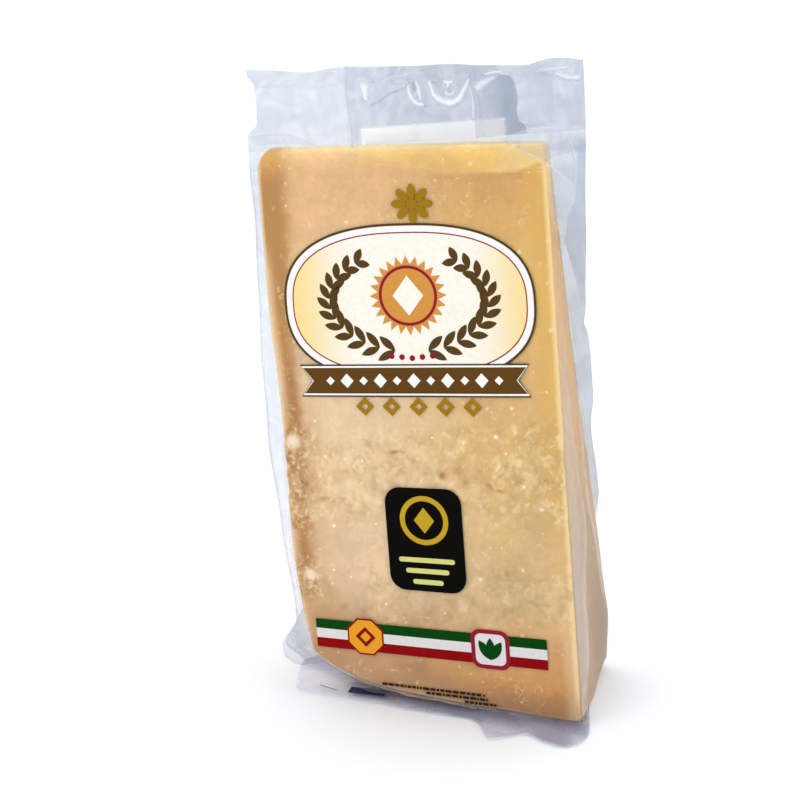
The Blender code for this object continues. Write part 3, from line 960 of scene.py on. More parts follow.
def add_sheet(name, grid, material, crease_highlight=0.0, veil=0.0, shade=0.0, thin=0.0, frame_matrix=PACK_FRAME):
    """A sheet of film through a grid (u, y, h), with what its material reads at each point."""
    points = np.stack(grid, axis=-1)
    level = np.zeros(points.shape[:-1])
    values = {"crease_highlight": crease_highlight, "veil": veil, "shade": shade, "thin": thin}
    values = {key: value + level for key, value in values.items()}
    faces = grid_faces(*level.shape)
    sheet = add_piece(name, points, faces, material, values, frame_matrix)
    sheet.visible_shadow = False
    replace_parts(sheet, "sealed_pack")


def smooth_path(path, count=24):
    """The path through these (u, h) corners, rounded and evenly stepped."""
    path = np.array(path)
    share = np.concatenate([[0], np.cumsum(np.hypot(*np.diff(path, axis=0).T))])
    share = share / share[-1]
    steps = np.linspace(0, 1, count)
    return np.stack([curve_at(list(zip(share, path[:, axis])), steps) for axis in (0, 1)], axis=1)


def along_path(path, u, h):
    """Distance from each (u, h) to a path, and how far along the path its nearest point is."""
    path = smooth_path(path)
    nearest = np.full(np.shape(u), np.inf)
    share = np.zeros(np.shape(u))
    for k, ((u0, h0), (u1, h1)) in enumerate(zip(path, path[1:])):
        du, dh = u1 - u0, h1 - h0
        s = np.clip(((u - u0) * du + (h - h0) * dh) / (du * du + dh * dh), 0, 1)
        distance = np.hypot(u - u0 - s * du, h - h0 - s * dh)
        share = np.where(distance < nearest, (k + s) / (len(path) - 1), share)
        nearest = np.minimum(nearest, distance)
    return nearest, share


def ridge(path, widths, u, h):
    """1 along the path, falling away across it, with its width going through widths along it."""
    distance, share = along_path(path, u, h)
    width = np.interp(share, np.linspace(0, 1, len(widths)), widths)
    return np.exp(-((distance / width) ** 2))


PUCKER_WIDEN = 1.35
# Puckers under the seal: path in (u, h), widths along it, rise of the film and whiteness, a painted
# highlight.
PUCKERS = (
    (((-0.0116, 0.2404), (-0.0118, 0.2352)), (0.0016, 0.0010, 0.0004), 0.0008, 1.0),
    (
        ((-0.0105, 0.2402), (-0.0059, 0.2414), (-0.0013, 0.2427), (0.0050, 0.2428)),
        (0.0004,),
        0.0003,
        0.35,
    ),
    (((-0.0060, 0.2375), (-0.0010, 0.2398), (0.0030, 0.2412)), (0.0012, 0.0018, 0.0012), 0.0006, 0.22),
    (
        ((0.0045, 0.2401), (0.0047, 0.2371), (0.0056, 0.2343), (0.0076, 0.2324), (0.0098, 0.2318)),
        (0.0004, 0.0006, 0.0008, 0.0005),
        0.0010,
        1.0,
    ),
    (((0.0077, 0.2407), (0.0086, 0.2381), (0.0089, 0.2342)), (0.0004, 0.0008, 0.0006), 0.0009, 0.9),
    (
        (
            (0.0130, 0.2403), (0.0143, 0.2355), (0.0170, 0.2328), (0.0200, 0.2316), (0.0232, 0.2327),
            (0.0256, 0.2355), (0.0285, 0.2399),
        ),
        (0.0004, 0.0008, 0.0012, 0.0013, 0.0010, 0.0007, 0.0003),
        0.0013,
        1.0,
    ),
    (((0.0186, 0.2396), (0.0200, 0.2392), (0.0215, 0.2395)), (0.0005,), 0.0005, 0.9),
    (((0.0202, 0.2392), (0.0197, 0.2376)), (0.0007, 0.0003), 0.0004, 0.9),
    (((0.0187, 0.2358), (0.0199, 0.2347), (0.0218, 0.2352)), (0.0005,), 0.0004, 0.8),
    (((0.0284, 0.2374), (0.0290, 0.2323), (0.0286, 0.2255)), (0.0003, 0.0005, 0.0003), 0.0004, 0.7),
    (((0.0345, 0.2413), (0.0380, 0.2417), (0.0406, 0.2416)), (0.0003, 0.0005, 0.0003), 0.0003, 0.9),
    (((0.0316, 0.2368), (0.0345, 0.2386), (0.0378, 0.2397)), (0.0014, 0.0013, 0.0004), 0.0010, 0.85),
    (((0.0545, 0.2411), (0.0605, 0.2409), (0.0655, 0.2413)), (0.0003, 0.0006, 0.0003), 0.0005, 0.6),
    (((0.0605, 0.2392), (0.0645, 0.2378), (0.0690, 0.2374)), (0.0003, 0.0009, 0.0007), 0.0006, 0.75),
    (((-0.0520, 0.2430), (-0.0410, 0.2425), (-0.0230, 0.2412)), (0.0004,), 0.0002, 0.20),
)
# Folds that look darker: path, widths and depth of shade.
FOLDS = (
    (
        ((-0.0105, 0.2329), (-0.0077, 0.2340), (-0.0034, 0.2364), (0.0031, 0.2385), (0.0050, 0.2403)),
        (0.0004,),
        0.55,
    ),
    (((0.0065, 0.2399), (0.0067, 0.2374)), (0.0008,), 0.75),
    (
        ((0.0098, 0.2312), (0.0135, 0.2310), (0.0172, 0.2314), (0.0200, 0.2303), (0.0230, 0.2312)),
        (0.0005,),
        0.40,
    ),
    (((0.0140, 0.2398), (0.0175, 0.2390)), (0.0004,), 0.4),
    (((0.0310, 0.2345), (0.0318, 0.2300), (0.0310, 0.2258)), (0.0005,), 0.30),
    (((0.0390, 0.2402), (0.0425, 0.2396), (0.0445, 0.2370)), (0.0006,), 0.45),
    (((0.0450, 0.2240), (0.0472, 0.2217), (0.0511, 0.2213), (0.0550, 0.2216)), (0.0005,), 0.35),
    (((0.0545, 0.2398), (0.0600, 0.2382), (0.0644, 0.2366), (0.0691, 0.2361)), (0.0004,), 0.40),
    (((-0.0186, 0.2480), (-0.0198, 0.2380), (-0.0200, 0.2295), (-0.0203, 0.2200)), (0.0003,), 0.35),
)
# Where the front film of the header leaves the cheese's face: (u, h).
FRONT_FOOT = (
    (-0.0600, 0.2188), (-0.0345, 0.2185), (-0.0198, 0.2151), (-0.0025, 0.2106), (0.0146, 0.2066),
    (0.0298, 0.2055), (0.0412, 0.2054), (0.0471, 0.2060), (0.0539, 0.2081), (0.0650, 0.2100),
)


def over_cheese(u, h):
    """1 where the film lies over the wedge, 0 beside and above it."""
    left = curve_at(RIND_OUTLINE, h)
    beside = ease(left, left + 0.001, u) * (1 - ease(CUT_EDGE_U - 0.0005, CUT_EDGE_U + 0.0005, u))
    return beside * (1 - ease(-0.0010, 0.0002, h - apex_ridge(u)))


def over_label(u, h):
    """1 where the film lies on the sticker."""
    beside = ease(LABEL_LEFT - 0.0005, LABEL_LEFT, u) * (1 - ease(LABEL_RIGHT, LABEL_RIGHT + 0.0005, u))
    return beside * (1 - ease(LABEL_TOP - 0.0002, LABEL_TOP + 0.0003, h))


FOLD_DEPTH = 0.0002
CRIMP_RISE = 0.0001
CRIMP_STEP = 0.0012


def header_front(film):
    """The header's front sheet, with puckers and folds under its crimped seal: painted highlights on the
    puckers, painted shade in the folds.
    """
    u, h, _ = span_grid(margin_left, margin_right, curve(FRONT_FOOT), header_top, 330, 110)
    y = film_middle(u, h) - tent_half(u, h)
    broken = ease(0.35, 0.6, fractal(in_plane(u, h), 0.009, 2))
    # Faint painted highlight along the film's foot line, then painted highlights on each pucker.
    crease_highlight = 0.16 * broken * bump_at(0.0, 0.0006, h - curve_at(FRONT_FOOT, u)) * (u > -0.010)
    for path, widths, rise, white in PUCKERS:
        crest = ridge(path, [PUCKER_WIDEN * width for width in widths], u, h)
        y -= rise * crest
        crease_highlight = np.maximum(crease_highlight, white * crest**1.3)
    free = 1 - over_cheese(u, h)
    shade = 0.15 * ease(-0.012, 0.024, u) * (1 - 0.7 * ease(0.044, 0.052, u)) * free * (1 - crease_highlight)
    for path, widths, depth in FOLDS:
        valley = ridge(path, widths, u, h)
        y += FOLD_DEPTH * valley
        shade = np.maximum(shade, depth * valley)
    seal = ease(-SEAL_HEIGHT - 0.001, -SEAL_HEIGHT, h - header_top(u))
    y += CRIMP_RISE * np.sin(2 * pi * h / CRIMP_STEP) * seal
    label = over_label(u, h)
    veil = (0.18 * seal + 0.10 * ease(-0.021, -0.019, u) * (1 - seal)) * (1 - label)
    thin = np.maximum(0.80 * (1 - free), 0.75 * label)
    add_sheet("film_header_front", (u, y, h), film, crease_highlight, veil, shade, thin)


def header_back(film):
    u, h, _ = span_grid(margin_left, margin_right, constant(0.2110), header_top, 160, 50)
    y = film_middle(u, h) + tent_half(u, h)
    add_sheet("film_header_back", (u, y, h), film, thin=0.8 * over_label(u, h))


LAP_LEFT = ((0.2180, -0.0203), (0.2295, -0.0200), (0.2380, -0.0198), (0.2480, -0.0186))
LAP_RIGHT = (
    (0.2180, 0.0475), (0.2212, 0.0470), (0.2231, 0.0448), (0.2265, 0.0445), (0.2298, 0.0452),
    (0.2331, 0.0453), (0.2365, 0.0448), (0.2396, 0.0434), (0.2410, 0.0396), (0.2460, 0.0380),
)


GUSSET_LEFT = 0.0284
LAYERS_FOOT = 0.2180


def seam_lap(film):
    """The back seam's lap, between the header's two faces."""
    lap_left, lap_right = curve(LAP_LEFT), curve(LAP_RIGHT)
    u, h, a = span_grid(lap_left, lap_right, constant(LAYERS_FOOT), header_top, 90, 50)
    y = film_middle(u, h) + 0.4 * tent_half(u, h)
    dark = 0.62 * ease(0.030, 0.0425, u) * (1 - ease(0.2385, 0.2415, h)) + 0.18 * ease(-0.012, 0.002, u)
    pale = bump_at(0.0048, 0.0018, u) * (1 - ease(0.2340, 0.2400, h))
    label = over_label(u, h)
    # Painted highlight along the lap's left edge and over its paler strip.
    crease_highlight = 0.3 * bump_at(0, 0.008, a) + 0.18 * pale
    shade = dark * (1 - 0.7 * pale) * (1 - 0.5 * label)
    add_sheet("film_seam_lap", (u, y, h), film, crease_highlight, 0.10 * (1 - label), shade, 0.8 * label)


def right_gusset(film):
    foot = constant(LAYERS_FOOT)
    u, h, _ = span_grid(constant(GUSSET_LEFT), margin_right, foot, header_top, 60, 50)
    y = film_middle(u, h) - 0.3 * tent_half(u, h)
    light = 0.35 * (1 - ease(0.0305, 0.0320, u))
    add_sheet("film_gusset_right", (u, y, h), film, light, 0.12, thin=0.3 * over_label(u, h))


LENS_COLUMNS, LENS_ROWS = 56, 18
LENS_FULL_WIDTH = 0.004
LENS_GAP = 0.0004
# Folded corners: top and low edge in (u, h), bulge, and whiteness, a painted highlight, of the low edge, top
# edge and rest.
CORNERS = {
    "film_corner_right": (
        (
            (0.0378, 0.2172), (0.0435, 0.2188), (0.0471, 0.2197), (0.0513, 0.2203), (0.0568, 0.2201),
            (0.0614, 0.2176), (0.0638, 0.2146), (0.0648, 0.2100), (0.0650, 0.2060), (0.0645, 0.2020),
            (0.0634, 0.1986),
        ),
        (
            (0.0378, 0.2168), (0.0420, 0.2145), (0.0457, 0.2125), (0.0497, 0.2105), (0.0530, 0.2086),
            (0.0556, 0.2060), (0.0581, 0.2035), (0.0607, 0.2012), (0.0632, 0.1986),
        ),
        0.0016,
        (1.0, 0.75, 0.30),
    ),
    "film_corner_left": (
        (
            (-0.0600, 0.2250), (-0.0536, 0.2256), (-0.0469, 0.2254), (-0.0405, 0.2236), (-0.0356, 0.2212),
            (-0.0328, 0.2199),
        ),
        (
            (-0.0600, 0.2226), (-0.0560, 0.2214), (-0.0500, 0.2214), (-0.0440, 0.2212), (-0.0390, 0.2206),
            (-0.0328, 0.2197),
        ),
        0.0010,
        (0.15, 0.9, 0.28),
    ),
}


def lens_sheet(film, name, top_path, low_path, lift, whiteness):
    """A folded corner: film between two curves, given as (u, h), bulging towards the front."""
    a, c = np.meshgrid(np.linspace(0, 1, LENS_COLUMNS), np.linspace(0, 1, LENS_ROWS))
    low, top = (smooth_path(path, LENS_COLUMNS) for path in (low_path, top_path))
    u, h = (mix(low[:, axis], top[:, axis], c) for axis in (0, 1))
    lift = lift * np.minimum(1.0, np.hypot(*(top - low).T) / LENS_FULL_WIDTH)
    bulge = lift * np.sin(pi * c) * np.sin(pi * a) ** 0.5
    y = film_middle(u, h) - tent_half(u, h) - LENS_GAP - bulge
    low_edge, top_edge, milky = whiteness
    covers = over_cheese(u, h)
    # Painted highlights along both edges and, fainter, over the rest of the fold.
    crease_highlight = np.maximum(low_edge * bump_at(0.0, 0.08, c), top_edge * bump_at(1.0, 0.06, c))
    crease_highlight = np.maximum(crease_highlight * ease(0.02, 0.16, a) * (1 - 0.3 * covers), milky * (1 - 0.4 * covers))
    add_sheet(name, (u, y, h), film, crease_highlight, thin=np.maximum(0.6, 0.95 * covers))




# The inner fold of the right margin: (h, u).
RIGHT_FOLD = (
    (0.1475, 0.0612), (0.1574, 0.0604), (0.1672, 0.0592), (0.1765, 0.0579), (0.1817, 0.0590),
    (0.1864, 0.0606), (0.1929, 0.0636), (0.1995, 0.0650), (0.2230, 0.0672),
)
RIGHT_TOOTH = (
    (0.0618, 0.1902), (0.0570, 0.1862), (0.0551, 0.1842), (0.0556, 0.1820), (0.0572, 0.1782),
    (0.0586, 0.1735),
)
TOOTH_WIDTHS = (0.0002, 0.0003, 0.0004, 0.0004, 0.0001)
# How far out the right margin's film clings to the cut, and so is clear: (h, u).
CLING = ((0.056, 0.0556), (0.120, 0.0551), (0.178, 0.0550), (0.215, 0.0549))


def margin_foot(u):
    return mix(*MARGIN_BOTTOM, (u - margin_left(0.1)) / (margin_right(0.1) - margin_left(0.1)))


MARGIN_SHOULDER = 0.2225
margin_shoulder = constant(MARGIN_SHOULDER)


def below_shoulder(h):
    """Fades a margin's film out where it runs in behind the header."""
    return 1 - ease(0.2080, 0.2215, h)


def left_margin(film):
    beside_rind = curve([(h, u + 0.001) for h, u in RIND_OUTLINE])
    u, h, a = span_grid(margin_left, beside_rind, margin_foot, margin_shoulder, 16, 220)
    y = film_middle(u, h) + 0.0003 * (fractal(in_plane(u, h), 0.016, 2) - 0.5) * (1 - a)
    fade = below_shoulder(h)
    spots = fractal(np.stack([u, y, h / 6], -1), 0.004, 2)
    # Painted highlights along the outer edge and in spots.
    crease_highlight = fade * (0.10 * bump_at(0.0, 0.07, a) + 0.10 * ease(0.6, 0.8, spots))
    inner = 0.26 * ease(0.160, 0.200, h) + 0.07 * bump_at(0.112, 0.030, h) * ease(0.1, 0.5, a)
    shade = fade * (0.34 * bump_at(0.02, 0.07, a) + 0.06 * ease(0.48, 0.30, spots) + inner)
    shade = np.minimum(shade, 0.6)
    add_sheet("film_margin_left", (u, y, h), film, crease_highlight, 0.22 * fade, shade, 1 - fade)


def right_margin(film):
    """The right margin: clear where it clings to the cut, darker beyond, with a painted highlight along its
    tooth.
    """
    beside_cut = constant(CUT_EDGE_U - 0.001)
    foot = constant(RIGHT_MARGIN[0][0])
    u, h, a = span_grid(beside_cut, margin_right, foot, margin_shoulder, 40, 240)
    y = film_middle(u, h) + 0.0004 * (fractal(in_plane(u, h), 0.012, 2) - 0.5) * a
    fade = below_shoulder(h) * ease(0.056, 0.070, h)
    free = fade * ease(-0.0006, 0.0008, u - curve_at(CLING, h))
    tooth = ridge(RIGHT_TOOTH, TOOTH_WIDTHS, u, h)
    outer = ease(-0.001, 0.0005, u - curve_at(RIGHT_FOLD, h)) * ease(0.150, 0.165, h)
    lower = 1 - ease(0.150, 0.175, h)
    upper = ease(0.172, 0.186, h) * (1 - ease(0.203, 0.210, h))
    streaks = ease(0.45, 0.65, fractal(in_plane(u, h / 4), 0.004, 2))
    depth = 0.26 + 0.16 * (outer + lower + upper * (1 - outer)) + 0.08 * a + 0.10 * streaks
    by_corner = (1 - ease(0.0630, 0.0655, u)) * ease(0.2035, 0.2090, h)
    shade = free * depth * (1 - 0.9 * tooth) * (1 - 0.8 * by_corner)
    # Painted highlight along the tooth and in faint streaks.
    crease_highlight = fade * 0.7 * tooth + free * 0.10 * (1 - streaks)
    add_sheet("film_margin_right", (u, y, h), film, crease_highlight, 0.30 * free, shade, 1 - free)


def right_fold(film):
    """The inner fold of the right margin."""
    u, h, a = span_grid(curve(RIGHT_FOLD), margin_right, constant(0.149), margin_shoulder, 12, 90)
    y = film_middle(u, h) - 0.0014
    fade = below_shoulder(h) * ease(0.149, 0.160, h)
    # Painted highlight along the fold's edge.
    crease_highlight = 0.20 * fade * bump_at(0.0, 0.08, a)
    add_sheet("film_fold_right", (u, y, h), film, crease_highlight, 0.05 * fade, 0.15 * fade, 1 - fade)


LIP_DROP = ((-0.056, 0.0008), (-0.030, 0.0010), (0.000, 0.0011), (0.055, 0.0014))


LIP_SHARES = (-1.1, -0.7, -0.35, 0.0, 0.3, 0.6, 0.8, 1.0)


def lip_line():
    """The front face's edge, as (u, h), from up the rind side round to the cut's corner."""
    up = np.linspace(0.42, 0.02, 70)
    along = np.linspace(0.0, 1.0, 150)[1:]
    a = np.concatenate([0 * up, along])
    c = np.concatenate([up, 0 * along])
    edge = chunk_point(a, -np.ones_like(a), c)[:, [0, 2]]
    for _ in range(6):
        edge[1:-1] = (edge[:-2] + 2 * edge[1:-1] + edge[2:]) / 4
    return edge


def lip_piece(film):
    """Film bridging the front face's lower edge, whiter outwards as a painted highlight, with painted shade
    at the lower left corner.
    """
    edge = lip_line()
    run = np.gradient(edge, axis=0)
    run = run / np.linalg.norm(run, axis=1, keepdims=True)
    width = curve_at(LIP_DROP, edge[:, 0]) * (1 - 0.6 * ease(0.03, 0.09, edge[:, 1]))
    shares = np.array(LIP_SHARES)[:, None]
    step = np.arange(len(edge))
    wobble = 0.0003 * np.sin(step / 4.7) + 0.0002 * np.sin(step / 1.9)
    offset = shares * width + np.maximum(shares, 0) * wobble
    u = edge[:, 0] + run[:, 1] * offset
    h = edge[:, 1] - run[:, 0] * offset
    half = thickness_at(edge[:, 1]) / 2 + SKIN_GAP
    y = -half - 0.0001 + 0.45 * np.maximum(offset, 0.0)
    y = np.where(shares > -1.0, y, -half + 0.0003)
    patchy = 0.45 + 0.55 * ease(0.35, 0.65, fractal(np.stack([u, y, h], axis=-1), 0.006, 2))
    outer = ease(-0.2, 0.6, shares + 0 * u)
    # Painted shade where the lip turns under the lower left corner.
    corner = outer * (1 - ease(-0.030, 0.000, u)) * ease(0.030, 0.020, h)
    # Painted highlight, patchy, growing towards the lip's outer side.
    crease_highlight = patchy * mix(0.04, 0.34, outer) * (1 - 0.7 * corner)
    add_sheet("film_lip", (u, y, h), film, crease_highlight, 0.08 + 0.30 * outer * (1 - corner), corner)


# Outer edge of the film strip that bridges the front face's right edge: (h, u, y).
STRIP_OUTER = (
    (-0.0030, 0.0580, -0.0312), (0.0000, 0.0576, -0.0302), (0.0045, 0.0562, -0.0262),
    (0.0138, 0.0562, -0.0146), (0.0228, 0.0562, -0.0104), (0.0423, 0.0560, -0.0076),
    (0.0673, 0.0556, 0.0020),
)


def strip_piece(film):
    """Film standing off the cut at half height, from the front edge to a wavy fold with a painted highlight.
    """
    c, a = np.meshgrid(np.linspace(0, 1, 110), np.linspace(0, 1, 14), indexing="ij")
    h = mix(STRIP_OUTER[0][0], STRIP_OUTER[-1][0], c)
    outer_u, outer_y = (curve_at([(row[0], row[axis]) for row in STRIP_OUTER], h) for axis in (1, 2))
    wave = 0.0008 * np.sin(h / 0.0021) + 0.0005 * np.sin(h / 0.0009)
    y = mix(-(thickness_at(h) / 2 + SKIN_GAP), outer_y + wave, a)
    u = mix(CUT_EDGE_U + SKIN_GAP, outer_u, a) + 0.0006 * np.sin(pi * a)
    fade = 1 - ease(0.045, 0.066, h)
    place = np.stack([u, y, h], axis=-1)
    broken = 0.35 + 0.65 * ease(0.4, 0.6, fractal(place, 0.005, 2))
    low = 0.45 * (1 - ease(0.004, 0.016, h)) * ease(0.5, 0.7, fractal(place, 0.003, 2))
    # Painted highlight along the outer fold and in patches low down.
    crease_highlight = np.clip(fade * broken * (0.75 * bump_at(1.0, 0.07, a) + low), 0, 1)
    add_sheet("film_strip", (u, y, h), film, crease_highlight, 0.10 * fade, thin=1 - fade)


# The small ear of film beside the chunk's lower left corner, as an outline in (u, h).
EAR_ROOT = ((-0.0560, 0.0400), (-0.0545, 0.0300), (-0.0525, 0.0240), (-0.0500, 0.0190), (-0.0470, 0.0165))
EAR_EDGE = (
    (-0.0597, 0.0346), (-0.0650, 0.0272), (-0.0676, 0.0233), (-0.0677, 0.0193), (-0.0663, 0.0167),
    (-0.0618, 0.0140), (-0.0560, 0.0135),
)
EAR_FOLDS = (
    ((-0.0650, 0.0272), (-0.0600, 0.0225), (-0.0545, 0.0235)),
    ((-0.0672, 0.0225), (-0.0610, 0.0210), (-0.0560, 0.0180)),
)
EAR_COLUMNS, EAR_ROWS = 40, 18
EAR_DEPTH = -0.0120  # how far in front of the pack's middle it lies where u is EAR_TIP_U
EAR_TIP_U = -0.055
EAR_SLOPE = 0.25


def ear_piece(film):
    root, rim = (smooth_path(path, EAR_COLUMNS) for path in (EAR_ROOT, EAR_EDGE))
    c = np.linspace(0, 1, EAR_ROWS)[:, None]
    u, h = (mix(root[:, axis], rim[:, axis], c) for axis in (0, 1))
    wave = 0.0016 * np.sin(2.3 * pi * c) * np.sin(pi * np.linspace(0, 1, EAR_COLUMNS))
    y = wave + EAR_DEPTH + EAR_SLOPE * (u - EAR_TIP_U)
    folds = np.maximum(*(ridge(path, (0.0004,), u, h) for path in EAR_FOLDS))
    # Painted highlights along the rim and the folds.
    crease_highlight = np.maximum(0.5 * bump_at(1.0, 0.07, c), 0.6 * folds)
    add_sheet("film_ear", (u, y, h), film, crease_highlight, 0.25, 0.10)


# The flap on the ground, in the leant frame before it is moved to the base mount: outline (x, y).
FLAP_OUTLINE = (
    (-0.0655, 0.0040), (-0.0618, -0.0200), (-0.0590, -0.0268), (-0.0470, -0.0290), (-0.0300, -0.0302),
    (-0.0140, -0.0336), (0.0060, -0.0352), (0.0130, -0.0362), (0.0178, -0.0420), (0.0228, -0.0522),
    (0.0290, -0.0486), (0.0360, -0.0440), (0.0440, -0.0490), (0.0520, -0.0512), (0.0572, -0.0470),
    (0.0588, -0.0390), (0.0575, -0.0290), (0.0480, 0.0100), (0.0200, 0.0240), (-0.0400, 0.0200),
)
FLAP_CENTRE = (0.010, -0.004)
# Where the chunk's front edge meets the flap, in its outline's frame: (x, y).
CONTACT = (
    (-0.0620, 0.0040), (-0.0540, -0.0005), (-0.0460, -0.0070), (-0.0280, -0.0193), (-0.0050, -0.0275),
    (0.0200, -0.0315), (0.0580, -0.0315),
)


FLAP_STEPS = 8
FLAP_TENSION = 0.35


def flap_rim():
    """The flap's closed outline (n, 2), with only slight rounding at each corner."""
    corners = np.array(FLAP_OUTLINE)
    after, before = np.roll(corners, -1, axis=0), np.roll(corners, 1, axis=0)
    tangents = (after - before) * FLAP_TENSION
    rounds = []
    for s in np.arange(FLAP_STEPS) / FLAP_STEPS:
        rounds.append(
            corners * (1 + 2 * s) * (1 - s) ** 2
            + tangents * s * (1 - s) ** 2
            + after * s * s * (3 - 2 * s)
            - np.roll(tangents, -1, axis=0) * s * s * (1 - s)
        )
    return np.stack(rounds, axis=1).reshape(-1, 2)


def flap_shade(x, y):
    """Painted shadow on the film on the ground, darkest at the chunk's foot, and how far right it is."""
    along = ease(-0.050, 0.012, x) * (1 - 0.55 * ease(0.050, 0.058, x))
    reach = mix(0.012, 0.020, ease(0.000, 0.050, x))
    # Painted contact shadow in front of the chunk's foot.
    contact_shadow = 1 - ease(0.002, reach, curve_at(CONTACT, x) - y)
    contact_shadow = contact_shadow * mix(0.72, 0.95, ease(0.000, 0.040, np.abs(x + 0.010)))
    lobes = 0.35 + 0.45 * ease(0.026, 0.044, x)
    return np.maximum(contact_shadow, lobes * along), along


def flap_piece(film):
    """Film gathered under the chunk, lying on the ground out to its wavy edge."""
    centre = np.array(FLAP_CENTRE)
    shares = np.linspace(0.05, 1.0, 46)[:, None]
    flat = centre + (flap_rim() - centre) * shares[:, :, None]
    x, y = np.moveaxis(np.concatenate([flat, flat[:, :1]], axis=1), 2, 0)
    place = np.stack([x, y, 0 * x], axis=-1)
    wad = mix(0.0034, 0.0007, ease(0.35, 1.0, shares))
    wrinkles = 0.0028 * np.abs(fractal(place, 0.014, 2) - 0.5) * ease(0.3, 0.7, shares)
    edge = bump_at(1.0, 0.012, shares)
    folds = ease(0.80, 0.97, 1 - np.abs(fractal(place, 0.017, 2) - 0.5) * 8)
    # Painted highlights along the edge and over the folds.
    crease_highlight = np.clip(0.35 * edge + 0.20 * folds, 0, 1)
    shade, along = flap_shade(x, y)
    shade = shade * (1 - 0.4 * edge)
    veil = 0.05 + 0.15 * along
    to_mount = Matrix.Translation((BASE[0], BASE[1], 0.0))
    grid = (x, y, wad + wrinkles)
    add_sheet("film_flap", grid, film, crease_highlight, veil, shade, frame_matrix=to_mount)


# ---------------------------------------------------------------- print

PRINT_TILT_LOW = (0.030, -0.104)
PRINT_TILT_HIGH = (0.130, -0.036)
PRINT_CELL = 0.004


def ellipse(centre, width, height, turn=0.0, count=72, power=2.0):
    """Outline of an ellipse, or of a squarer oval for a power over 2."""
    angles = 2 * pi * np.arange(count) / count
    x = np.sign(np.cos(angles)) * np.abs(np.cos(angles)) ** (2 / power) * width / 2
    y = np.sign(np.sin(angles)) * np.abs(np.sin(angles)) ** (2 / power) * height / 2
    return placed(np.stack([x, y], axis=1), centre, turn)


def placed(points, centre, turn=0.0):
    rotation = np.array([[cos(turn), sin(turn)], [-sin(turn), cos(turn)]])
    return points @ rotation + np.array(centre)


CORNER_STEPS = 6


def box(centre, width, height, turn=0.0, corner=0.0):
    """Rectangle with rounded corners."""
    x, y = width / 2 - corner, height / 2 - corner
    points = []
    for quarter, (cx, cy) in enumerate(((x, y), (-x, y), (-x, -y), (x, -y))):
        for k in range(CORNER_STEPS if corner else 1):
            angle = (quarter + k / (CORNER_STEPS - 1)) * pi / 2
            points.append((cx + corner * cos(angle), cy + corner * sin(angle)))
    return placed(np.array(points), centre, turn)


def lozenge(centre, width, height):
    points = np.array([(width / 2, 0), (0, height / 2), (-width / 2, 0), (0, -height / 2)])
    return placed(points, centre)


def leaf(root, length, width, turn):
    """Pointed leaf from its root, in the direction turn."""
    s = np.linspace(0, 1, 9)
    half = width / 2 * np.sin(pi * s) ** 0.8
    there, back = (np.stack([s * length, side * half], 1) for side in (1, -1))
    return placed(np.concatenate([there, back[-2:0:-1]]), root, turn)


def rounds(centre, *sizes, count=72):
    """Circles about one centre: an outline, or a ring of two."""
    return [ellipse(centre, size, size, count=count) for size in sizes]


def star(centre, outer, inner, count, turn=0.0):
    """Star of so many points, or a regular polygon where both radii are the same."""
    angles = pi * np.arange(2 * count) / count
    radii = np.where(np.arange(2 * count) % 2 == 0, outer, inner)
    return placed(np.stack([np.cos(angles) * radii, np.sin(angles) * radii], 1), centre, turn)


def on_film(flat, level, tilt=None):
    """Places (u, y, h) of flat points on the film over the front face."""
    low, high = PRINT_TILT_LOW, PRINT_TILT_HIGH
    u, h = flat.T
    if tilt is None:
        tilt = mix(low[1], high[1], np.clip((h - low[0]) / (high[0] - low[0]), -0.3, 1.0))
    h = h + tilt * u
    return u, -(face_half(u, h) + PRINT_GAP + level * PRINT_STEP), h


def flat_print(shapes):
    """Faces of the shapes, cut into cells that can follow the film's bends."""
    bm = bmesh.new()
    for shape in shapes:
        loops = shape if isinstance(shape, list) else [shape]
        corners = [[Vector((x, y, 0.0)) for x, y in loop] for loop in loops]
        verts = [bm.verts.new(corner) for corner in itertools.chain(*corners)]
        for triangle in geometry.tessellate_polygon(corners):
            bm.faces.new([verts[i] for i in triangle])
    bounds = np.array([v.co[:2] for v in bm.verts])
    for axis in (0, 1):
        low, high = bounds[:, axis].min(), bounds[:, axis].max()
        normal = Vector.Fill(3, 0.0)
        normal[axis] = 1.0
        for k in range(ceil(low / PRINT_CELL), ceil(high / PRINT_CELL)):
            cut = {"dist": 1e-6, "plane_co": normal * (k * PRINT_CELL), "plane_no": normal}
            bmesh.ops.bisect_plane(bm, geom=bm.verts[:] + bm.edges[:] + bm.faces[:], **cut)
    return bm


def print_piece(name, shapes, material, level, place=None):
    """Printed shapes laid on the film. Each shape is an outline, or [outline, hole, ...]."""
    bm = flat_print(shapes)
    flat = np.array([v.co[:2] for v in bm.verts])
    spots = place(flat) if place else on_film(flat, level)
    for vertex, spot in zip(bm.verts, zip(*spots)):
        vertex.co = spot
    bmesh.ops.recalc_face_normals(bm, faces=bm.faces)
    mesh = bpy.data.meshes.new(name)
    bm.to_mesh(mesh)
    bm.free()
    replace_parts(add_object(name, mesh, material), "sealed_pack")


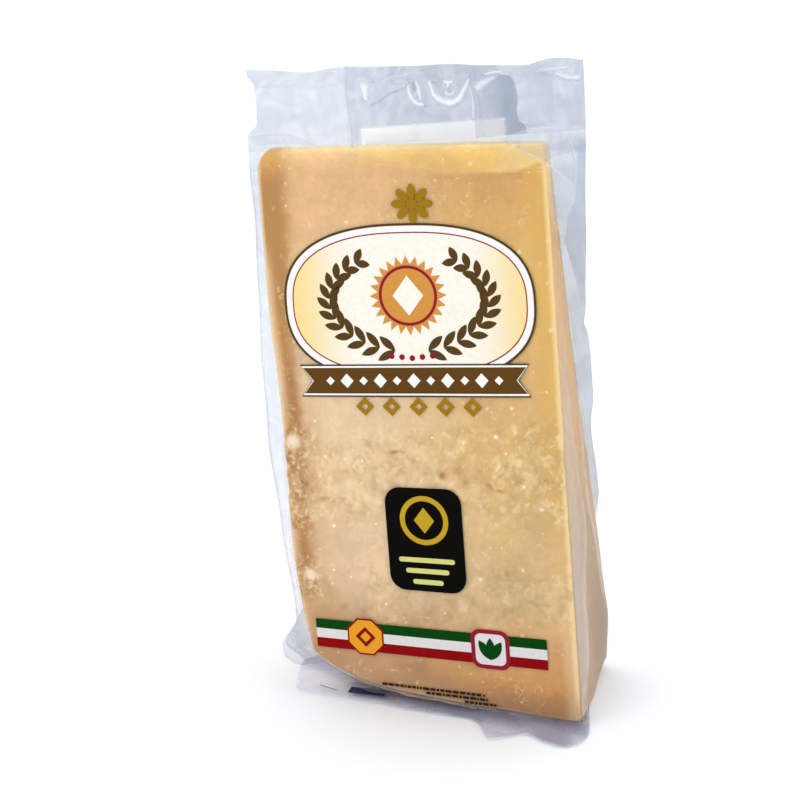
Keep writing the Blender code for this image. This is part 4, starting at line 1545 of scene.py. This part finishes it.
# Inks: colour, then where they differ roughness, a second colour, and how far out that takes over.
INKS = {
    "brown": ((88, 64, 30),),
    "white": ((250, 248, 244),),
    "crimson": ((150, 26, 48),),
    "cream": ((252, 246, 232), 0.55, (251, 219, 136), 0.047),
    "tan": ((214, 150, 70),),
    "deep_brown": ((98, 66, 26),),
    "gold": ((160, 120, 22), 0.25),
    "rule": ((60, 45, 30),),
    "black": ((5, 4, 2),),
    "badge_gold": ((196, 158, 38), 0.25),
    "badge_pale": ((214, 214, 130),),
    "green": ((2, 66, 10),),
    "band_white": ((226, 221, 220),),
    "red": ((142, 4, 8),),
    "amber": ((232, 160, 40),),
    "seal_crimson": ((150, 28, 50),),
    "dashes": ((44, 32, 20),),
    "navy": ((38, 46, 92),),
}


def print_pieces(rows, inks, place=None):
    """Print pieces given as (name, shapes, ink, level)."""
    for name, shapes, ink, level in rows:
        print_piece(f"print_{name}", shapes, inks[ink], level, place)


PLAQUE_CENTRE = (-0.0010, 0.1590)
PLAQUE_SIZE = (0.0980, 0.0600)
PLAQUE_POWER = 2.5
BAR_CENTRE = (-0.0010, 0.1300)
BAR_SIZE = (0.0900, 0.0125)


def plaque(inset):
    width, height = PLAQUE_SIZE
    return ellipse(PLAQUE_CENTRE, width - 2 * inset, height - 2 * inset, count=120, power=PLAQUE_POWER)


def spray(side, count):
    """Leaves in pairs along an arc, from the bottom of the wreath up one side."""
    shapes = []
    cx, cy = PLAQUE_CENTRE
    width, height = WREATH_SIZE
    for k in range(count):
        angle = radians(-78 + 128 * k / (count - 1))
        root = (cx + side * width * cos(angle), cy + 0.0010 + height * sin(angle))
        heading = atan2(height * cos(angle), -side * width * sin(angle))
        for tilt in (-0.62, 0.62):
            shapes.append(leaf(root, 0.0080 - 0.00018 * k, 0.0030, heading + tilt))
    return shapes


def swallowtail(inset):
    """Long bar with notched ends."""
    x, y = BAR_SIZE[0] / 2 - inset, BAR_SIZE[1] / 2 - inset
    notch = 0.0045 - inset * 0.4
    points = ((x, y), (-x, y), (-x + notch, 0), (-x, -y), (x, -y), (x - notch, 0))
    return placed(np.array(points), BAR_CENTRE)


WREATH_SIZE = (0.0310, 0.0190)
BERRIES = (-0.008, -0.004, 0.0, 0.004, 0.008)
BEAD_STEP = 0.0066
BEAD_SIZES = ((0.0052, 0.0056), (0.0034, 0.0034))
ROSETTE_CENTRE = (0.0030, 0.1962)
LOZENGE_ROW = (-0.0211, 0.1200)
LOZENGE_STEP = 0.01055


def plaque_prints(inks):
    cx, cy = PLAQUE_CENTRE
    sun = (cx, cy + 0.0030)
    berries = [rounds((cx + x, cy - 0.0205 + 0.1 * abs(x)), 0.0022, count=20)[0] for x in BERRIES]
    rows = (
        ("plaque_rim", [[plaque(0.0), plaque(0.0009)]], "brown", 1),
        ("plaque_band", [[plaque(0.0009), plaque(0.0032)]], "white", 1),
        ("plaque_line", [[plaque(0.0032), plaque(0.0037)]], "crimson", 1),
        ("plaque_field", [plaque(0.0037)], "cream", 1),
        ("wreath", spray(1, 12) + spray(-1, 12), "brown", 2),
        ("sun_rays", [star(sun, 0.0150, 0.0118, 24)], "tan", 2),
        ("sun_ring", [rounds(sun, 0.0226, 0.0204)], "crimson", 3),
        ("sun_heart", [lozenge(sun, 0.0120, 0.0150)], "cream", 3),
        ("berries", berries, "crimson", 3),
    )
    print_pieces(rows, inks)


def bar_prints(inks):
    """The notched bar with its beads, the rosette over the plaque and the row of lozenges."""
    x, y = BAR_CENTRE
    beads = [lozenge((x + BEAD_STEP * k, y), *BEAD_SIZES[k % 2]) for k in range(-5, 6)]
    x, y = ROSETTE_CENTRE
    turns = np.arange(8) * pi / 4
    petals = [((x + 0.0052 * cos(turn), y + 0.0045 * sin(turn)), turn) for turn in turns]
    rosette = [ellipse(centre, 0.0058, 0.0032, turn, 24) for centre, turn in petals]
    rosette += rounds(ROSETTE_CENTRE, 0.0040, count=24)
    x, y = LOZENGE_ROW
    centres = [(x + LOZENGE_STEP * k, y) for k in range(5)]
    lozenges = [[lozenge(centre, size, size) for size in (0.0072, 0.0028)] for centre in centres]
    rows = (
        ("bar_edge", [swallowtail(0.0)], "brown", 3),
        ("bar_line", [[swallowtail(0.0006), swallowtail(0.0013)]], "white", 4),
        ("bar_fill", [swallowtail(0.0013)], "deep_brown", 4),
        ("bar_beads", beads, "white", 5),
        ("rosette", rosette, "gold", 2),
        ("lozenges", lozenges, "gold", 2),
        ("rule", [box((0.0004, 0.1247), 0.0490, 0.0007)], "rule", 1),
    )
    print_pieces(rows, inks)


TAG_CENTRE = (-0.0010, 0.0690)
TAG_RING = (-0.0010, 0.0765)
TAG_BARS = ((0.0610, 0.0220), (0.0568, 0.0170), (0.0526, 0.0120))


def badge_prints(inks):
    """Black tag with a gold ring over three pale bars."""
    bars = [box((TAG_RING[0], height), width, 0.0019, corner=0.0009) for height, width in TAG_BARS]
    rows = (
        ("tag", [box(TAG_CENTRE, 0.0300, 0.0400, corner=0.0060)], "black", 2),
        ("tag_ring", [rounds(TAG_RING, 0.0190, 0.0150)], "badge_gold", 3),
        ("tag_heart", [lozenge(TAG_RING, 0.0080, 0.0100)], "badge_gold", 3),
        ("tag_bars", bars, "badge_pale", 3),
    )
    print_pieces(rows, inks)


# The small print's lines: from u to u, at this height where u is 0; they drop towards the cut.
DASH_LINES = ((-0.0225, 0.0181, 0.0106), (-0.0050, 0.0190, 0.0090), (0.0100, 0.0216, 0.0073))
DASH_TILT = -0.118


DASH_GAP = 0.0004
DASH_LENGTHS = (0.0007, 0.0026)
BAND_ENDS = (-0.0475, 0.0436)
BAND_HEIGHT = 0.0287
STRIPE = 0.0038
SEAL_AMBER = (-0.0277, 0.0288)
SEAL_LEAF = (0.0216, 0.0287)


def band_prints(inks):
    """Tricolour band with two plain seals."""
    left, right = BAND_ENDS
    stripes = [
        (f"band_{name}", [box(((left + right) / 2, BAND_HEIGHT + k * STRIPE), right - left, STRIPE)], ink, 2)
        for name, ink, k in (("green", "green", 1), ("white", "band_white", 0), ("red", "red", -1))
    ]
    root = (SEAL_LEAF[0], SEAL_LEAF[1] - 0.0040)
    leaves = [leaf(root, 0.0084, 0.0036, pi / 2 + tilt) for tilt in (-0.55, 0.0, 0.55)]
    rows = (
        *stripes,
        ("seal_amber_edge", [star(SEAL_AMBER, 0.0078, 0.0078, 4, pi / 8)], "red", 3),
        ("seal_amber", [star(SEAL_AMBER, 0.0071, 0.0071, 4, pi / 8)], "amber", 4),
        ("seal_amber_heart", [[lozenge(SEAL_AMBER, size, size) for size in (0.0080, 0.0044)]], "red", 5),
        ("seal_leaf_edge", [box(SEAL_LEAF, 0.0150, 0.0150, corner=0.0036)], "seal_crimson", 3),
        ("seal_leaf_field", [box(SEAL_LEAF, 0.0118, 0.0118, corner=0.0024)], "band_white", 4),
        ("seal_leaf", leaves, "green", 5),
    )
    print_pieces(rows, inks)


def dash_prints(inks):
    """Lines of fine dashes below the band, in place of small print."""
    random = np.random.default_rng(5)
    dashes = []
    for start, end, height in DASH_LINES:
        x = start
        while x < end:
            length = random.uniform(*DASH_LENGTHS)
            dashes.append(box((x + length / 2, height), length, 0.0010))
            x += length + DASH_GAP
    print_pieces((("dashes", dashes, "dashes", 1),), inks, lambda flat: on_film(flat, 1, DASH_TILT))


MARK_HEIGHT = 0.0020


def on_ground(flat):
    """Places (u, y, h) of flat points on the flap."""
    to_pack = PACK_FRAME.inverted()
    world = [Vector((x + BASE[0], y + BASE[1], MARK_HEIGHT)) for x, y in flat]
    return np.array([to_pack @ point for point in world]).T


def flap_prints(inks):
    """Registration mark and rule on the flap: positions on the ground in the leant frame."""
    rows = (
        ("mark", [box((-0.0315, -0.0240), 0.0148, 0.0058)], "navy", 1),
        ("mark_rule", [box((-0.0475, -0.0243), 0.0085, 0.0005, turn=-0.35)], "navy", 1),
    )
    print_pieces(rows, inks, on_ground)


# ---------------------------------------------------------------- label


def dress_label():
    label = frame["nodes"]["back_label"]
    label.data.materials.clear()
    label.data.materials.append(label_material())


# ---------------------------------------------------------------- stage, lights and camera

CAMERA_AZIMUTH = 14.8
CAMERA_ELEVATION = 15.8
CAMERA_DISTANCE = 0.80
CAMERA_TARGET = (-0.0247, 0.0, 0.1166)  # in the leant frame
FOCAL_PIXELS = 2061.9
FRAME_PIXELS = 800
SENSOR_MM = 36.0
KEY_PLACE = (-0.55, -0.75, 0.95)
KEY_SIZE = 0.7
KEY_POWER = 3.1
FLOOR_HALF = 8.0


def aim(obj, place, target):
    obj.location = place
    direction = Vector(target) - Vector(place)
    obj.rotation_euler = direction.to_track_quat("-Z", "Y").to_euler()


def add_camera():
    data = bpy.data.cameras.new("camera")
    data.sensor_width = SENSOR_MM
    data.lens = SENSOR_MM * FOCAL_PIXELS / FRAME_PIXELS
    data.clip_start = 0.01
    camera = bpy.data.objects.new("camera", data)
    bpy.context.scene.collection.objects.link(camera)
    azimuth, elevation = radians(CAMERA_AZIMUTH), radians(CAMERA_ELEVATION)
    target = Vector(CAMERA_TARGET) + Vector((BASE[0], BASE[1], -GROUND))
    away = Vector((sin(azimuth) * cos(elevation), -cos(azimuth) * cos(elevation), sin(elevation)))
    aim(camera, target + away * CAMERA_DISTANCE, target)
    bpy.context.scene.camera = camera


def add_key():
    """One large soft lamp in front, above and to the left."""
    data = bpy.data.lights.new("key", "AREA")
    data.shape = "RECTANGLE"
    data.size = data.size_y = KEY_SIZE
    data.energy = KEY_POWER
    light = bpy.data.objects.new("key", data)
    bpy.context.scene.collection.objects.link(light)
    aim(light, KEY_PLACE, (0, 0, 0.12))


# How bright the tent is along this direction: from where to where it changes, and from what to what.
TENT_LEAN = (0.05, 1.0, 0.35)
TENT_FADE = (-0.4, 0.6, 0.735, 1.46)


def add_light_tent():
    """Even white surround, brighter overhead and behind than in front, as over a light table."""
    world = bpy.data.worlds.new("light_tent")
    world.use_nodes = True
    nodes, links = world.node_tree.nodes, world.node_tree.links
    lean = nodes.new("ShaderNodeVectorMath")
    lean.operation = "DOT_PRODUCT"
    lean.inputs[1].default_value = TENT_LEAN
    links.new(nodes.new("ShaderNodeTexCoord").outputs["Generated"], lean.inputs[0])
    fade = nodes.new("ShaderNodeMapRange")
    fade.interpolation_type = "SMOOTHSTEP"
    for key, value in zip(("From Min", "From Max", "To Min", "To Max"), TENT_FADE):
        fade.inputs[key].default_value = value
    links.new(lean.outputs["Value"], fade.inputs["Value"])
    background = nodes["Background"]
    background.inputs["Color"].default_value = (0.97, 0.98, 1.0, 1.0)
    links.new(fade.outputs[0], background.inputs["Strength"])
    bpy.context.scene.world = world


def add_studio():
    add_light_tent()
    add_key()
    bpy.context.scene.view_settings.view_transform = "Standard"


def add_floor():
    g = Graph("floor_white", Roughness=0.7, IOR=1.4)
    tones = ((0.0, (0.90, 0.925, 0.95, 1)), (1.0, (0.92, 0.945, 0.97, 1)))
    material = g.finish(Base_Color=g.ramp(g.noise(0.5, 2.0), tones))
    mesh = bpy.data.meshes.new("floor")
    corners = [(x * FLOOR_HALF, y * FLOOR_HALF, 0) for x, y in ((-1, -1), (1, -1), (1, 1), (-1, 1))]
    mesh.from_pydata(corners, [], [(0, 1, 2, 3)])
    mesh.materials.append(material)
    floor = bpy.data.objects.new("floor", mesh)
    bpy.context.scene.collection.objects.link(floor)
    floor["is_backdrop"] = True


def film_pieces():
    """Every free sheet of film, each with the film material of its place."""
    header = film_material("film_header", (164, 173, 190), 0.245)
    margin = film_material("film_margin", (174, 186, 204), 0.24)
    # The ground film's dark is the colour of its painted shadow.
    ground = film_material("film_ground", (192, 194, 214), 0.20, dark=(112, 110, 138))
    # The lip's colours for its painted shade and painted highlight.
    warm_shade_and_highlight = {"dark": (122, 100, 96), "white": (244, 232, 218)}
    lip = film_material("film_lip", (214, 192, 170), 0.18, **warm_shade_and_highlight)
    for make in (header_front, header_back, seam_lap, right_gusset):
        make(header)
    for name, corner in CORNERS.items():
        lens_sheet(header, name, *corner)
    for make in (left_margin, right_margin, right_fold):
        make(margin)
    lip_piece(lip)
    strip_piece(lip)
    ear_piece(margin)
    flap_piece(ground)


def main():
    cheese_piece()
    skin_piece()
    film_pieces()
    inks = {name: ink_material(name, *look) for name, look in INKS.items()}
    for make in (plaque_prints, bar_prints, badge_prints, band_prints, dash_prints, flap_prints):
        make(inks)
    dress_label()
    add_floor()
    add_studio()
    add_camera()
    sizes = {"cad": cad_bounds, "visual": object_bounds()}
    sizes = {key: [list(corner) for corner in corners] for key, corners in sizes.items()}


main()
